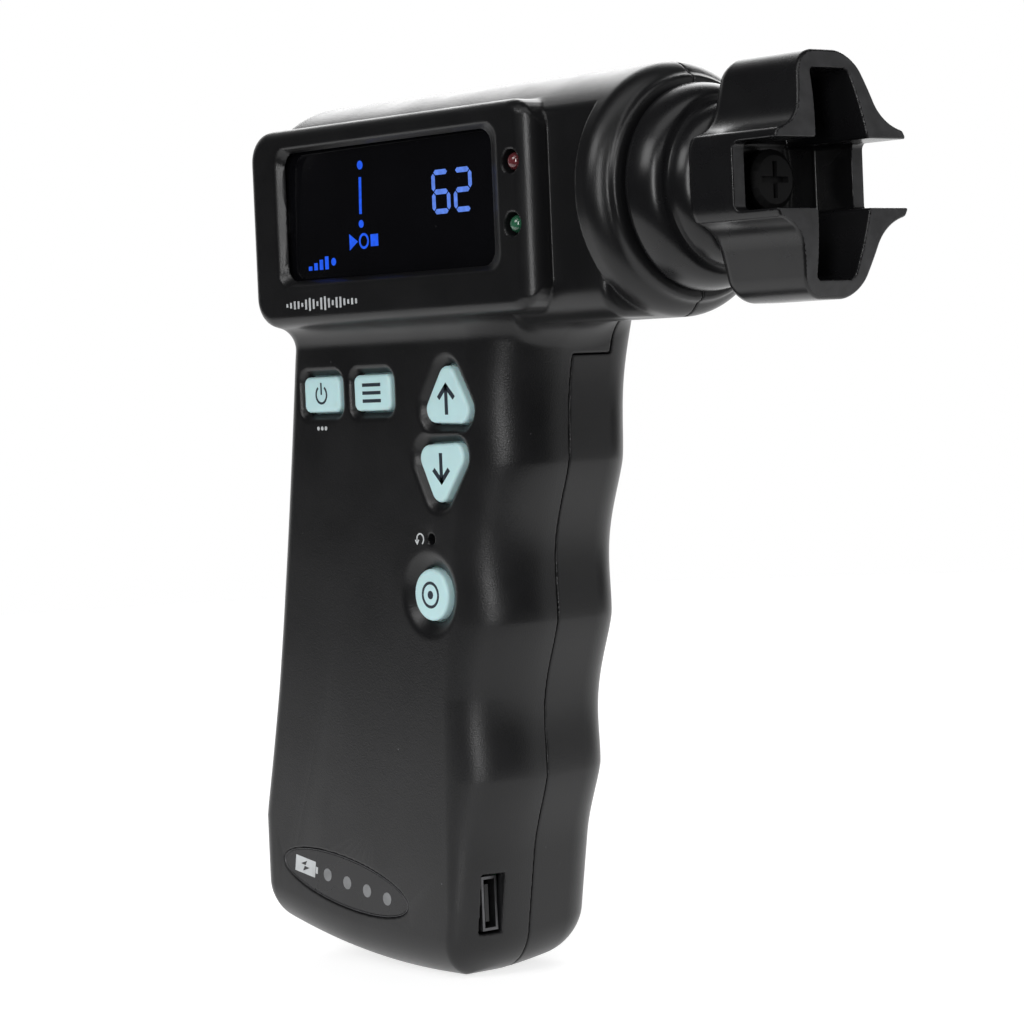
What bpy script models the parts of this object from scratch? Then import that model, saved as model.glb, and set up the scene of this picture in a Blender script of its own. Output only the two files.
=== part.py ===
"""Handheld motorised peg winder and tuner: a pistol grip with a display and a slotted winder head.

Frame: +Z up, +X towards the winder head, -Y the display side. The origin is the middle of the
bounding box in plan, at the foot of the grip. Named sizes are millimetres, and named X places are
counted from a point ORIGIN_X away from that middle.
"""

import math

import bmesh
import bpy
from mathutils import Vector

MM = 0.001
ORIGIN_X = -0.345

# The long chains of cuts in the shells need this solver, because EXACT leaves open edges in them.
SHELL_SOLVER = "MANIFOLD"

# The two shell halves meet at y = 0, and every pair of neighbours keeps a small gap.
SEAM_GAP = 0.3
GAP = 0.3
WALL = 2.1

# Barrel, along X.
BARREL_Z = 109.0
BARREL_R = 17.0
BARREL_BACK_X = -50.0
BARREL_BACK_ROUND = 6.0
NOSE_END_X = 30.55
NOSE_END_R = 13.8
NOSE_ROUND = 4.0
NOSE_ROUND_X = NOSE_END_X - (BARREL_R - NOSE_END_R) - NOSE_ROUND * math.tan(math.radians(22.5))
NOSE_SOLID_X = 22.6
BORE_R = 9.3
BARREL_FRONT_Y = -12.6
BARREL_FRONT_STOP_X = 24.6

# Display block on the front of the barrel.
BLOCK_X = (-47.6, 15.0)
BLOCK_Z = (94.4, 122.2)
BLOCK_Y = -16.3
BLOCK_ROUND = 3.6
BLOCK_WALL_Y = -13.3
BLOCK_BACK_Y = -2.0
BLOCK_EDGE = 1.8
WINDOW_X = (-41.0, 8.6)
WINDOW_Z = (99.4, 119.4)
GLASS_X = (-39.8, 5.7)
GLASS_Z = (100.4, 118.5)
REBATE_Y = -14.8
LED_X = 11.2
LED_Z = {"red": 113.8, "green": 105.4}
LED_R = 1.5

# Grip: its finger side and its palm side lean back at the same slope.
GRIP_SLOPE = 1 / 6
GRIP_TOP_Z = 103.0
GRIP_FRONT_Y = -12.0
GRIP_REAR_Y = 14.0
RIDGE_Z = 73.0
RIDGE_X = 2.5
RIDGE_PITCH = 22.3
SCOOP_DEPTH = 1.6
TOP_SCOOP_DEPTH = 1.0
PALM_X = -42.4
PALM_LOWEST_X = -57.7
PALM_BOW = 0.7
PALM_BOW_Z = (19.0, 89.0)
CREASE_WIDTH = (6.0, 10.0)
CREASE_Z = (10.0, 40.0)
FINGER_CORNER_Y = -1.5
PALM_ROUND = 3.0
REAR_ROUND = 7.0
FOOT_SLOPE = -0.13
FOOT_FADE_Z = (8.0, 40.0)
FOOT_ROUND = 6.0
FOOT_Z = 0.0
FOOT_LOW_X = -16.93

# Keys on the grip: outline corners in X and Z.
KEY_TOP_Y = -11.9
KEY_EDGE = 0.35
KEY_FLANGE = 0.8
KEY_CLEARANCE = 0.25
KEY_ROOM_Y = (-10.0, -6.0)
KEY_FLANGE_Y = (-9.7, -8.9)
POCKET_DEPTH = 1.2
RECT_KEYS = {"power": (-38.0, 83.6), "mode": (-26.2, 83.6)}
RECT_KEY_SIZE = (8.4, 5.2)
RECT_KEY_ROUND = 1.1
TRIANGLE_KEYS = {
    "up": ((-9.3, 88.6), (-3.4, 78.7), (-15.8, 79.1)),
    "down": ((-17.1, 75.9), (-4.4, 76.3), (-12.2, 66.2)),
}
TRIANGLE_KEY_ROUND = 1.9
ROUND_KEY = ("mark", (-14.8, 54.8), 3.7)
POCKET_MARGIN = {"power": 1.1, "mode": 1.1, "up": 1.5, "down": 1.5, "mark": 2.1}
RESET_POS = (-14.0, 62.7)
RESET_R = 0.8

# Charge window near the foot, tilted with the foot.
CHARGE_POS = (-37.4, 12.2)
CHARGE_HALF = (14.8, 3.7)
CHARGE_TILT = math.radians(-9.6)
CHARGE_LED_PITCH = 4.7
CHARGE_LED_FIRST = -4.2

# Charging socket on the finger side.
USB_Y = (-8.5, -5.0)
USB_Z = (6.5, 15.0)

# Boards, switches and battery.
BOARD_Y = (-2.8, -1.2)
BOARD_X = (-42.0, -6.3)
BOARD_Z = (45.0, 88.0)
SWITCH_TOP_Y = -8.1
SWITCH_BODY_Y = -6.6
CHARGE_BOARD_Y = (-5.0, -3.8)
BATTERY = ((-41.0, -9.0), (1.2, 9.8), (38.0, 86.0))

# Screws from the rear into posts: (x, z).
SCREWS = ((-49.0, 28.0), (-14.5, 30.0), (-38.0, 91.8), (-4.5, 90.2), (-43.6, 109.0))
POST_R = 3.4
SCREW_SEAT_Y = 6.0
SCREW_HEAD_R = 2.5
SCREW_R = 1.2

# Gearmotor.
MOTOR_X = (-35.2, -11.5)
MOTOR_R = 11.7
GEAR_MODULE = 0.4
MOTOR_TEETH = 10
LAY_WHEEL_TEETH = 28
LAY_PINION_TEETH = 12
OUTPUT_TEETH = 26
LAY_OFFSET = GEAR_MODULE * (MOTOR_TEETH + LAY_WHEEL_TEETH) / 2
SHAFT_R = 3.0
SHAFT_BORE_R = 3.3

# Winder: collar, hub and two lobes with a slot for a tuning peg.
COLLAR_X = (30.9, 39.7)
HEAD_BACK_X = 40.0
HEAD_MOUTH_X = 57.24
MOUTH_R = 42.7
HUB_R = 12.3
LOBE_HALF_Z = 15.9
LOBE_HALF_Y = 5.8
LOBE_ROOT_Y = 6.9
LOBE_ROOT_Z = 9.2
LOBE_ROUND = 3.0
LOBE_BACK_ROUND = 2.0
NOTCH_HALF_Z = 4.4
NOTCH_X = 49.2
CAVITY_X = 42.5
CAVITY_HALF_Y = 9.8
SLOT_HALF_Z = 13.4
SLOT_HALF_Y = (3.4, 4.7)


# ---------------------------------------------------------------- outlines


def arc(centre, radii, start, stop, steps):
    """Points of an elliptical arc, angles in degrees."""
    points = []
    for i in range(steps + 1):
        a = math.radians(start + (stop - start) * i / steps)
        points.append((centre[0] + radii[0] * math.cos(a), centre[1] + radii[1] * math.sin(a)))
    return points


def circle(centre, radius, steps):
    return arc(centre, (radius, radius), 0, 360, steps)[:-1]


def grown(corners, margin):
    """A convex outline with every side moved out by margin."""
    corners = [Vector(c) for c in corners]
    middle = sum(corners, Vector((0, 0))) / len(corners)
    moved = []
    for i, corner in enumerate(corners):
        before = (corner - corners[i - 1]).normalized()
        after = (corners[(i + 1) % len(corners)] - corner).normalized()
        normals = []
        for side in (before, after):
            normal = Vector((side.y, -side.x))
            normals.append(normal if normal.dot(corner - middle) > 0 else -normal)
        bisector = (normals[0] + normals[1]).normalized()
        moved.append(corner + bisector * (margin / bisector.dot(normals[0])))
    return [tuple(m) for m in moved]


def rounded(corners, radius, steps=3):
    """A convex outline with each corner replaced by an arc."""
    corners = [Vector(c) for c in corners]
    points = []
    for i, corner in enumerate(corners):
        to_last = (corners[i - 1] - corner).normalized()
        to_next = (corners[(i + 1) % len(corners)] - corner).normalized()
        half = to_last.angle(to_next) / 2
        centre = corner + (to_last + to_next).normalized() * (radius / math.sin(half))
        first = corner + to_last * (radius / math.tan(half)) - centre
        last = corner + to_next * (radius / math.tan(half)) - centre
        for k in range(steps + 1):
            points.append(tuple(centre + first.lerp(last, k / steps).normalized() * radius))
    return points


def rectangle(x_range, z_range):
    return [(x_range[0], z_range[0]), (x_range[1], z_range[0]),
            (x_range[1], z_range[1]), (x_range[0], z_range[1])]


def rectangle_at(centre, size):
    x, z = centre
    return rectangle((x - size[0] / 2, x + size[0] / 2), (z - size[1] / 2, z + size[1] / 2))


def gear_outline(centre, teeth, phase):
    """Straight-flanked teeth with backlash; a tooth's middle stands at phase, in degrees."""
    root = GEAR_MODULE * (teeth - 2.5) / 2
    tip = GEAR_MODULE * (teeth + 1.7) / 2
    pitch = 360 / teeth
    points = []
    for k in range(teeth):
        for radius, share in ((root, -0.34), (tip, -0.09), (tip, 0.09), (root, 0.34)):
            a = math.radians(phase + pitch * (k + share))
            points.append((centre[0] + radius * math.cos(a), centre[1] + radius * math.sin(a)))
    return points


# ---------------------------------------------------------------- solids


def place(axis, along, a, b):
    """A point from its height along an axis and its two other coordinates, in order."""
    return {"X": (along, a, b), "Y": (a, along, b), "Z": (a, b, along)}[axis]


def add_object(name, mesh_builder, material=None):
    """A mesh object from a function that fills a bmesh in millimetres."""
    build = bmesh.new()
    mesh_builder(build)
    bmesh.ops.recalc_face_normals(build, faces=build.faces)
    bmesh.ops.translate(build, vec=(-ORIGIN_X, 0, 0), verts=build.verts)
    bmesh.ops.scale(build, vec=(MM, MM, MM), verts=build.verts)
    mesh = bpy.data.meshes.new(name)
    build.to_mesh(mesh)
    build.free()
    mesh.shade_smooth()
    mesh.set_sharp_from_angle(angle=math.radians(32))
    made = bpy.data.objects.new(name, mesh)
    bpy.context.scene.collection.objects.link(made)
    if material:
        mesh.materials.append(material)
    return made


def loft(name, rings, material=None):
    """A closed solid through rings of equal point count, with flat ends."""

    def fill(build):
        made = [[build.verts.new(point) for point in ring] for ring in rings]
        for lower, upper in zip(made, made[1:]):
            for i in range(len(lower)):
                j = (i + 1) % len(lower)
                build.faces.new((lower[i], lower[j], upper[j], upper[i]))
        build.faces.new(made[0])
        build.faces.new(made[-1])

    return add_object(name, fill, material)


def stack(name, axis, layers, material=None):
    """A loft of outlines, each at a height along an axis."""
    return loft(name, [[place(axis, h, a, b) for a, b in outline] for h, outline in layers], material)


def prism(name, axis, outline, low, high, material=None):
    return stack(name, axis, [(low, outline), (high, outline)], material)


def block(name, x_range, y_range, z_range, material=None):
    return prism(name, "Y", rectangle(x_range, z_range), y_range[0], y_range[1], material)


def turned(name, axis, centre, profile, material=None, steps=32):
    """A solid of revolution. Its (along, radius) profile starts and ends on the axis, or is a loop."""
    on_axis = profile[0][1] == 0

    def fill(build):
        rings = []
        for along, radius in profile:
            if radius == 0:
                rings.append([build.verts.new(place(axis, along, *centre))])
            else:
                outline = circle(centre, radius, steps)
                rings.append([build.verts.new(place(axis, along, a, b)) for a, b in outline])
        pairs = list(zip(rings, rings[1:]))
        if not on_axis:
            pairs.append((rings[-1], rings[0]))
        for lower, upper in pairs:
            for i in range(steps):
                j = (i + 1) % steps
                corners = [lower[i % len(lower)], lower[j % len(lower)],
                           upper[j % len(upper)], upper[i % len(upper)]]
                build.faces.new(list(dict.fromkeys(corners)))

    return add_object(name, fill, material)


def rod(name, axis, centre, radius, low, high, material=None, steps=24):
    profile = [(low, 0), (low, radius), (high, radius), (high, 0)]
    return turned(name, axis, centre, profile, material, steps)


def ring(name, axis, centre, radii, low, high, material=None, steps=32):
    inner, outer = radii
    profile = [(low, inner), (low, outer), (high, outer), (high, inner)]
    return turned(name, axis, centre, profile, material, steps)


def as_guide(tool):
    tool.hide_render = True
    tool.display_type = "WIRE"
    return tool


def combine(target, operation, *tools, solver="EXACT"):
    """Boolean the tools into the target, one modifier each."""
    for tool in tools:
        as_guide(tool)
        step = target.modifiers.new(operation.title(), "BOOLEAN")
        step.operation = operation
        step.solver = solver
        step.object = tool
    return target


# ---------------------------------------------------------------- materials


def material(name, colour, roughness, metallic=0.0, alpha=1.0):
    made = bpy.data.materials.new(name)
    made.use_nodes = True
    shader = made.node_tree.nodes["Principled BSDF"]
    shader.inputs["Base Color"].default_value = (*colour, 1)
    shader.inputs["Roughness"].default_value = roughness
    shader.inputs["Metallic"].default_value = metallic
    shader.inputs["Alpha"].default_value = alpha
    return made


def make_materials():
    looks = {
        "shell_black": ((0.016, 0.016, 0.017), 0.42),
        "head_black": ((0.011, 0.011, 0.012), 0.3),
        "lens_black": ((0.004, 0.004, 0.006), 0.08),
        "key_cyan": ((0.44, 0.67, 0.68), 0.4),
        "led_red": ((0.32, 0.01, 0.015), 0.2),
        "led_green": ((0.01, 0.22, 0.06), 0.2),
        "window_grey": ((0.03, 0.03, 0.033), 0.2),
        "board_green": ((0.02, 0.12, 0.05), 0.5),
        "switch_black": ((0.03, 0.03, 0.03), 0.5),
        "module_dark": ((0.02, 0.02, 0.025), 0.3),
        "steel": ((0.55, 0.55, 0.56), 0.3, 1.0),
        "brass": ((0.7, 0.5, 0.2), 0.3, 1.0),
        "nylon": ((0.75, 0.75, 0.7), 0.5),
        "battery_silver": ((0.6, 0.62, 0.64), 0.4),
    }
    return {name: material(name, *look) for name, look in looks.items()}


# ---------------------------------------------------------------- grip and shells


def scoop(z):
    """Depth of the finger scoops at a height, below the line of the ridges."""
    depth = TOP_SCOOP_DEPTH if z > RIDGE_Z else SCOOP_DEPTH
    if z < RIDGE_Z - 2.5 * RIDGE_PITCH:
        return depth
    return depth * abs(math.sin(math.pi * (z - RIDGE_Z) / RIDGE_PITCH)) ** 1.4


def grip_sides(z):
    """Palm side, finger side and crease of the front face, in X, at a height."""
    line = RIDGE_X + GRIP_SLOPE * (z - RIDGE_Z)
    palm = max(PALM_X + GRIP_SLOPE * (z - BARREL_Z), PALM_LOWEST_X)
    bow_low, bow_high = PALM_BOW_Z
    if bow_low < z < bow_high:
        palm += PALM_BOW * math.sin(math.pi * (z - bow_low) / (bow_high - bow_low))
    crease_low, crease_high = CREASE_Z
    share = min(1.0, max(0.0, (z - crease_low) / (crease_high - crease_low)))
    crease = line - CREASE_WIDTH[0] - share * (CREASE_WIDTH[1] - CREASE_WIDTH[0])
    return palm, line - scoop(z), crease


def grip_section(z, inset):
    """Outline of the grip at a height, moved in by inset: flat front, elliptical finger corner."""
    palm, finger, crease = grip_sides(z)
    left, right = palm + inset, finger - inset
    front, rear = GRIP_FRONT_Y + inset, GRIP_REAR_Y - inset
    small = max(PALM_ROUND - inset, 0.8)
    large = max(REAR_ROUND - inset, 0.8)
    corner_x = min(crease, right - 1.0)
    corner_y = min(FINGER_CORNER_Y, front + 11)
    points = arc((left + small, front + small), (small, small), 180, 270, 3)
    points += arc((corner_x, corner_y), (right - corner_x, corner_y - front), 270, 360, 7)
    points += arc((right - large, rear - large), (large, large), 0, 90, 4)
    points += arc((left + large, rear - large), (large, large), 90, 180, 4)
    return points


def grip_form(name, inset, foot, levels):
    """The grip from its top to its foot, whose lowest face slopes and has round edges."""
    rings = []
    spread = [GRIP_TOP_Z + (foot + FOOT_ROUND - GRIP_TOP_Z) * i / levels for i in range(levels + 1)]
    rounding = [math.radians(a) for a in (22.5, 45, 67.5, 90)]
    radius = FOOT_ROUND - inset
    stations = [(z, inset) for z in spread]
    for a in rounding:
        inward = inset + radius * (1 - math.cos(a))
        stations.append((foot + FOOT_ROUND - radius * math.sin(a), inward))
    for z, inward in stations:
        slope = FOOT_SLOPE * min(1.0, max(0.0, (FOOT_FADE_Z[1] - z) / (FOOT_FADE_Z[1] - FOOT_FADE_Z[0])))
        outline = grip_section(max(z, foot + 2), inward)
        rings.append([(x, y, z + slope * (x - FOOT_LOW_X)) for x, y in outline])
    return loft(name, rings)


def barrel_form():
    back, r, edge = BARREL_BACK_X, BARREL_R, BARREL_BACK_ROUND
    profile = [(back, 0)] + arc((back + edge, r - edge), (edge, edge), 180, 90, 5)
    profile += arc((NOSE_ROUND_X, r - NOSE_ROUND), (NOSE_ROUND, NOSE_ROUND), 90, 45, 4)
    profile += [(NOSE_END_X, NOSE_END_R), (NOSE_END_X, 0)]
    return turned("barrel_form", "X", (0, BARREL_Z), profile, steps=64)


def block_form():
    corners = rectangle(BLOCK_X, BLOCK_Z)
    layers = []
    for angle in (0, 45, 90):
        inset = BLOCK_EDGE * (1 - math.sin(math.radians(angle)))
        outline = rounded(grown(corners, -inset), BLOCK_ROUND - inset / 2, 4)
        layers.append((BLOCK_Y + BLOCK_EDGE * (1 - math.cos(math.radians(angle))), outline))
    layers.append((BLOCK_BACK_Y, outline))
    return stack("block_form", "Y", layers)


def body_form():
    """The whole outer form of the housing, as a guide for both halves."""
    barrel = barrel_form()
    before = block("barrel_front_cut", (-60, BARREL_FRONT_STOP_X), (-30, BARREL_FRONT_Y), (85, 135))
    combine(barrel, "DIFFERENCE", before)
    body = grip_form("body_form", 0.0, FOOT_Z, 27)
    combine(body, "UNION", barrel, block_form())
    return as_guide(body)


def cavity_forms():
    """Solids that hollow the housing out: grip, barrel, behind the display, and the nose."""
    x0, x1 = BARREL_BACK_X + 2.5, BLOCK_X[1] - 1.6
    nose_start, nose_stop = x1 - 1.0, NOSE_SOLID_X
    inner_r = BARREL_R - WALL
    barrel = turned("barrel_cavity", "X", (0, BARREL_Z),
                    [(x0, 0), (x0, inner_r - 4), (x0 + 4, inner_r), (x1, inner_r), (x1, 0)], steps=48)
    nose = rod("nose_cavity", "X", (0, BARREL_Z), inner_r - 0.6, nose_start, nose_stop, steps=48)
    keep = block("nose_cavity_keep", (nose_start - 5, nose_stop + 5), (BARREL_FRONT_Y + WALL, 30), (80, 140))
    combine(nose, "INTERSECT", keep)
    behind = prism("display_cavity", "Y", rounded(grown(rectangle(BLOCK_X, BLOCK_Z), -2.2), 1.8),
                   BLOCK_WALL_Y, -1.0)
    bore = rod("nose_bore", "X", (0, BARREL_Z), BORE_R, nose_stop - 4, NOSE_END_X + 5, steps=40)
    return [grip_form("grip_cavity", WALL + 0.2, FOOT_Z, 12), barrel, nose, behind, bore]


def key_outlines():
    """Corner outline and corner radius of each key."""
    outlines = {}
    for name, pos in RECT_KEYS.items():
        outlines[name] = (rectangle_at(pos, RECT_KEY_SIZE), RECT_KEY_ROUND)
    for name, corners in TRIANGLE_KEYS.items():
        outlines[name] = (corners, TRIANGLE_KEY_ROUND)
    return outlines


def key_ring(name, margin):
    """The outline of a key, moved out by margin, as points in X and Z."""
    if name == ROUND_KEY[0]:
        return circle(ROUND_KEY[1], ROUND_KEY[2] + margin, 20)
    corners, radius = key_outlines()[name]
    return rounded(grown(corners, margin), max(radius + margin, 0.5), 4)


def key_names():
    return list(RECT_KEYS) + list(TRIANGLE_KEYS) + [ROUND_KEY[0]]


def key_cuts():
    """For each key: a dished pocket, its aperture, and room for its flange inside."""
    cuts = []
    for name in key_names():
        margin = POCKET_MARGIN[name]
        layers = [(GRIP_FRONT_Y - POCKET_DEPTH, key_ring(name, 2 * margin)),
                  (GRIP_FRONT_Y, key_ring(name, margin)),
                  (GRIP_FRONT_Y + POCKET_DEPTH, key_ring(name, KEY_CLEARANCE)),
                  (KEY_ROOM_Y[0] - 0.05, key_ring(name, KEY_CLEARANCE)),
                  (KEY_ROOM_Y[0], key_ring(name, KEY_FLANGE + GAP)),
                  (KEY_ROOM_Y[1], key_ring(name, KEY_FLANGE + GAP))]
        cuts.append(stack("pocket_" + name, "Y", layers))
    cuts.append(rod("reset_hole", "Y", RESET_POS, RESET_R, -14, -8, steps=16))
    return cuts


def window_cuts():
    """The display window with its bevelled frame, the rebate for the glass, and the LED holes."""
    opening = rounded(rectangle(WINDOW_X, WINDOW_Z), 2.2, 4)
    glass = rounded(rectangle(GLASS_X, GLASS_Z), 1.6, 4)
    rebate = rounded(grown(rectangle(GLASS_X, GLASS_Z), 1.5), 2.0, 4)
    layers = [(BLOCK_Y - 1, opening), (BLOCK_Y, opening), (REBATE_Y - 0.1, glass), (REBATE_Y, glass),
              (REBATE_Y + 0.05, rebate), (BLOCK_WALL_Y + 0.5, rebate)]
    cuts = [stack("window_cut", "Y", layers)]
    for name, z in LED_Z.items():
        cuts.append(rod("led_hole_" + name, "Y", (LED_X, z), LED_R + 0.25, BLOCK_Y - 1, -12, steps=20))
    return cuts


def charge_outline(margin):
    """A pointed oval along the foot."""
    half_x, half_z = CHARGE_HALF[0] + margin, CHARGE_HALF[1] + margin
    points = []
    for i in range(28):
        a = 2 * math.pi * i / 28
        u = half_x * math.cos(a)
        v = half_z * math.copysign(abs(math.sin(a)) ** 1.25, math.sin(a))
        points.append((CHARGE_POS[0] + u * math.cos(CHARGE_TILT) - v * math.sin(CHARGE_TILT),
                       CHARGE_POS[1] + u * math.sin(CHARGE_TILT) + v * math.cos(CHARGE_TILT)))
    return points


def on_charge_axis(u):
    return (CHARGE_POS[0] + u * math.cos(CHARGE_TILT), CHARGE_POS[1] + u * math.sin(CHARGE_TILT))


def make_shells(look):
    body = body_form()
    cavities = cavity_forms()
    half = SEAM_GAP / 2
    front = block("front_shell", (-80, 80), (-40, -half), (-20, 150), look["shell_black"])
    rear = block("rear_shell", (-80, 80), (half, 40), (-20, 150), look["shell_black"])
    for shell in (front, rear):
        combine(shell, "INTERSECT", body, solver=SHELL_SOLVER)
        combine(shell, "DIFFERENCE", *cavities, solver=SHELL_SOLVER)
    for i, pos in enumerate(SCREWS):
        reach = (-13.6, 14.2) if i == len(SCREWS) - 1 else (-10.4, 12.8)
        front_post = rod(f"front_post_{i}", "Y", pos, POST_R, reach[0], -half, steps=16)
        rear_post = rod(f"rear_post_{i}", "Y", pos, POST_R, half, reach[1], steps=16)
        combine(front, "UNION", front_post, solver=SHELL_SOLVER)
        combine(rear, "UNION", rear_post, solver=SHELL_SOLVER)
    for i, pos in enumerate(SCREWS):
        hole = rod(f"screw_hole_{i}", "Y", pos, SCREW_R + GAP, -8.5, 20, steps=12)
        recess = rod(f"screw_recess_{i}", "Y", pos, SCREW_HEAD_R + GAP, SCREW_SEAT_Y, 25, steps=20)
        combine(front, "DIFFERENCE", hole, solver=SHELL_SOLVER)
        combine(rear, "DIFFERENCE", hole, recess, solver=SHELL_SOLVER)
    charge = prism("charge_cut", "Y", charge_outline(0.2), -15, -8)
    socket = block("usb_cut", (-25, 0), USB_Y, USB_Z)
    combine(front, "DIFFERENCE", *key_cuts(), *window_cuts(), charge, socket, solver=SHELL_SOLVER)


# ---------------------------------------------------------------- pieces in the housing


def make_display(look):
    glass = rounded(grown(rectangle(GLASS_X, GLASS_Z), 1.2), 1.8, 4)
    prism("display_lens", "Y", glass, REBATE_Y + GAP, BLOCK_WALL_Y - 0.2, look["lens_black"])
    module = grown(rectangle(GLASS_X, GLASS_Z), 0.4)
    prism("display_module", "Y", rounded(module, 0.8, 2), -12.9, -12.05, look["module_dark"])
    for name, z in LED_Z.items():
        dome = [(-16.2, 0), (-15.9, 0.9), (-15.3, 1.35), (-14.7, LED_R), (-12.9, LED_R), (-12.9, 1.7),
                (-12.2, 1.7), (-12.2, 0)]
        turned("led_" + name, "Y", (LED_X, z), dome, look["led_" + name], steps=20)


def make_keys(look):
    for name in key_names():
        layers = [(KEY_TOP_Y, key_ring(name, -KEY_EDGE)), (KEY_TOP_Y + KEY_EDGE, key_ring(name, 0)),
                  (KEY_FLANGE_Y[0], key_ring(name, 0)), (KEY_FLANGE_Y[0], key_ring(name, KEY_FLANGE)),
                  (KEY_FLANGE_Y[1], key_ring(name, KEY_FLANGE))]
        stack("key_" + name, "Y", layers, look["key_cyan"])


def switch_positions():
    places = dict(RECT_KEYS)
    for name, corners in TRIANGLE_KEYS.items():
        places[name] = (sum(c[0] for c in corners) / 3, sum(c[1] for c in corners) / 3)
    places[ROUND_KEY[0]] = ROUND_KEY[1]
    return places


def make_switch(name, pos, size, top, look):
    """A square tact switch with a round plunger."""
    body = rounded(rectangle_at(pos, (size, size)), 0.6)
    plunger = [(pos[0] + size * 0.27 * math.cos(a), pos[1] + size * 0.27 * math.sin(a))
               for a in (math.atan2(z - pos[1], x - pos[0]) for x, z in body)]
    layers = [(BOARD_Y[0] - GAP, body), (SWITCH_BODY_Y, body), (SWITCH_BODY_Y, plunger), (top, plunger)]
    stack("switch_" + name, "Y", layers, look["switch_black"])


def make_boards(look):
    prism("main_board", "Y", rounded(rectangle(BOARD_X, BOARD_Z), 1.5, 2), *BOARD_Y, look["board_green"])
    for name, pos in switch_positions().items():
        make_switch(name, pos, 5.6, SWITCH_TOP_Y, look)
    make_switch("reset", RESET_POS, 4.0, SWITCH_TOP_Y + 0.4, look)
    x_range, y_range, z_range = BATTERY
    stack("battery_cell", "Y", [(y_range[0], rounded(grown(rectangle(x_range, z_range), -0.8), 2)),
                                (y_range[0] + 0.8, rounded(rectangle(x_range, z_range), 2.5)),
                                (y_range[1] - 0.8, rounded(rectangle(x_range, z_range), 2.5)),
                                (y_range[1], rounded(grown(rectangle(x_range, z_range), -0.8), 2))],
          look["battery_silver"])


def make_charge_set(look):
    prism("charge_window", "Y", charge_outline(-0.1), -11.95, -10.6, look["window_grey"])
    prism("charge_board", "Y", rounded(rectangle((-49.0, -12.6), (8.6, 19.5)), 1.0, 2), *CHARGE_BOARD_Y,
          look["board_green"])
    for i in range(4):
        x, z = on_charge_axis(CHARGE_LED_FIRST + CHARGE_LED_PITCH * i)
        y_range = (CHARGE_BOARD_Y[0] - 1.5, CHARGE_BOARD_Y[0] - GAP)
        block(f"charge_led_{i + 1}", (x - 0.8, x + 0.8), y_range, (z - 0.4, z + 0.4), look["nylon"])


def make_usb(look):
    y0, y1 = USB_Y[0] + 0.4, USB_Y[1] - 0.3
    z0, z1 = USB_Z[0] + 0.4, USB_Z[1] - 0.4
    mouth_x = -10.9
    shell = block("usb_socket", (-17.0, mouth_x), (y0, y1), (z0, z1), look["steel"])
    combine(shell, "DIFFERENCE", block("usb_hollow", (-16.5, 0), (y0 + 0.4, y1 - 0.4), (z0 + 0.4, z1 - 0.4)))
    block("usb_tongue", (-16.2, mouth_x - 0.6), (y0 + 1.0, y0 + 1.7), (z0 + 1.2, z1 - 1.2), look["nylon"])


def make_screws(look):
    """Pan-head screws with a cross recess."""
    y0 = SCREW_SEAT_Y + GAP
    for i, pos in enumerate(SCREWS):
        profile = [(-7.5, 0), (-7.5, 0.7), (-6.5, SCREW_R), (y0, SCREW_R), (y0, SCREW_HEAD_R),
                   (y0 + 1.2, SCREW_HEAD_R), (y0 + 1.8, SCREW_HEAD_R - 0.8), (y0 + 1.8, 0)]
        screw = turned(f"shell_screw_{i + 1}", "Y", pos, profile, look["steel"], steps=16)
        x, z = pos
        for k, (dx, dz) in enumerate(((1.4, 0.3), (0.3, 1.4))):
            slot = block(f"screw_slot_{i}_{k}", (x - dx, x + dx), (y0 + 0.9, y0 + 4), (z - dz, z + dz))
            combine(screw, "DIFFERENCE", slot)


# ---------------------------------------------------------------- gearmotor and winder


def spindle(name, x, y, z):
    """An empty on a joint's axis, which carries the pieces that turn with it."""
    pivot = bpy.data.objects.new(name, None)
    pivot.location = Vector((x - ORIGIN_X, y, z)) * MM
    bpy.context.scene.collection.objects.link(pivot)
    return pivot


def carry(pivot, *pieces):
    for piece in pieces:
        piece.parent = pivot
        piece.location = -pivot.location


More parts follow.
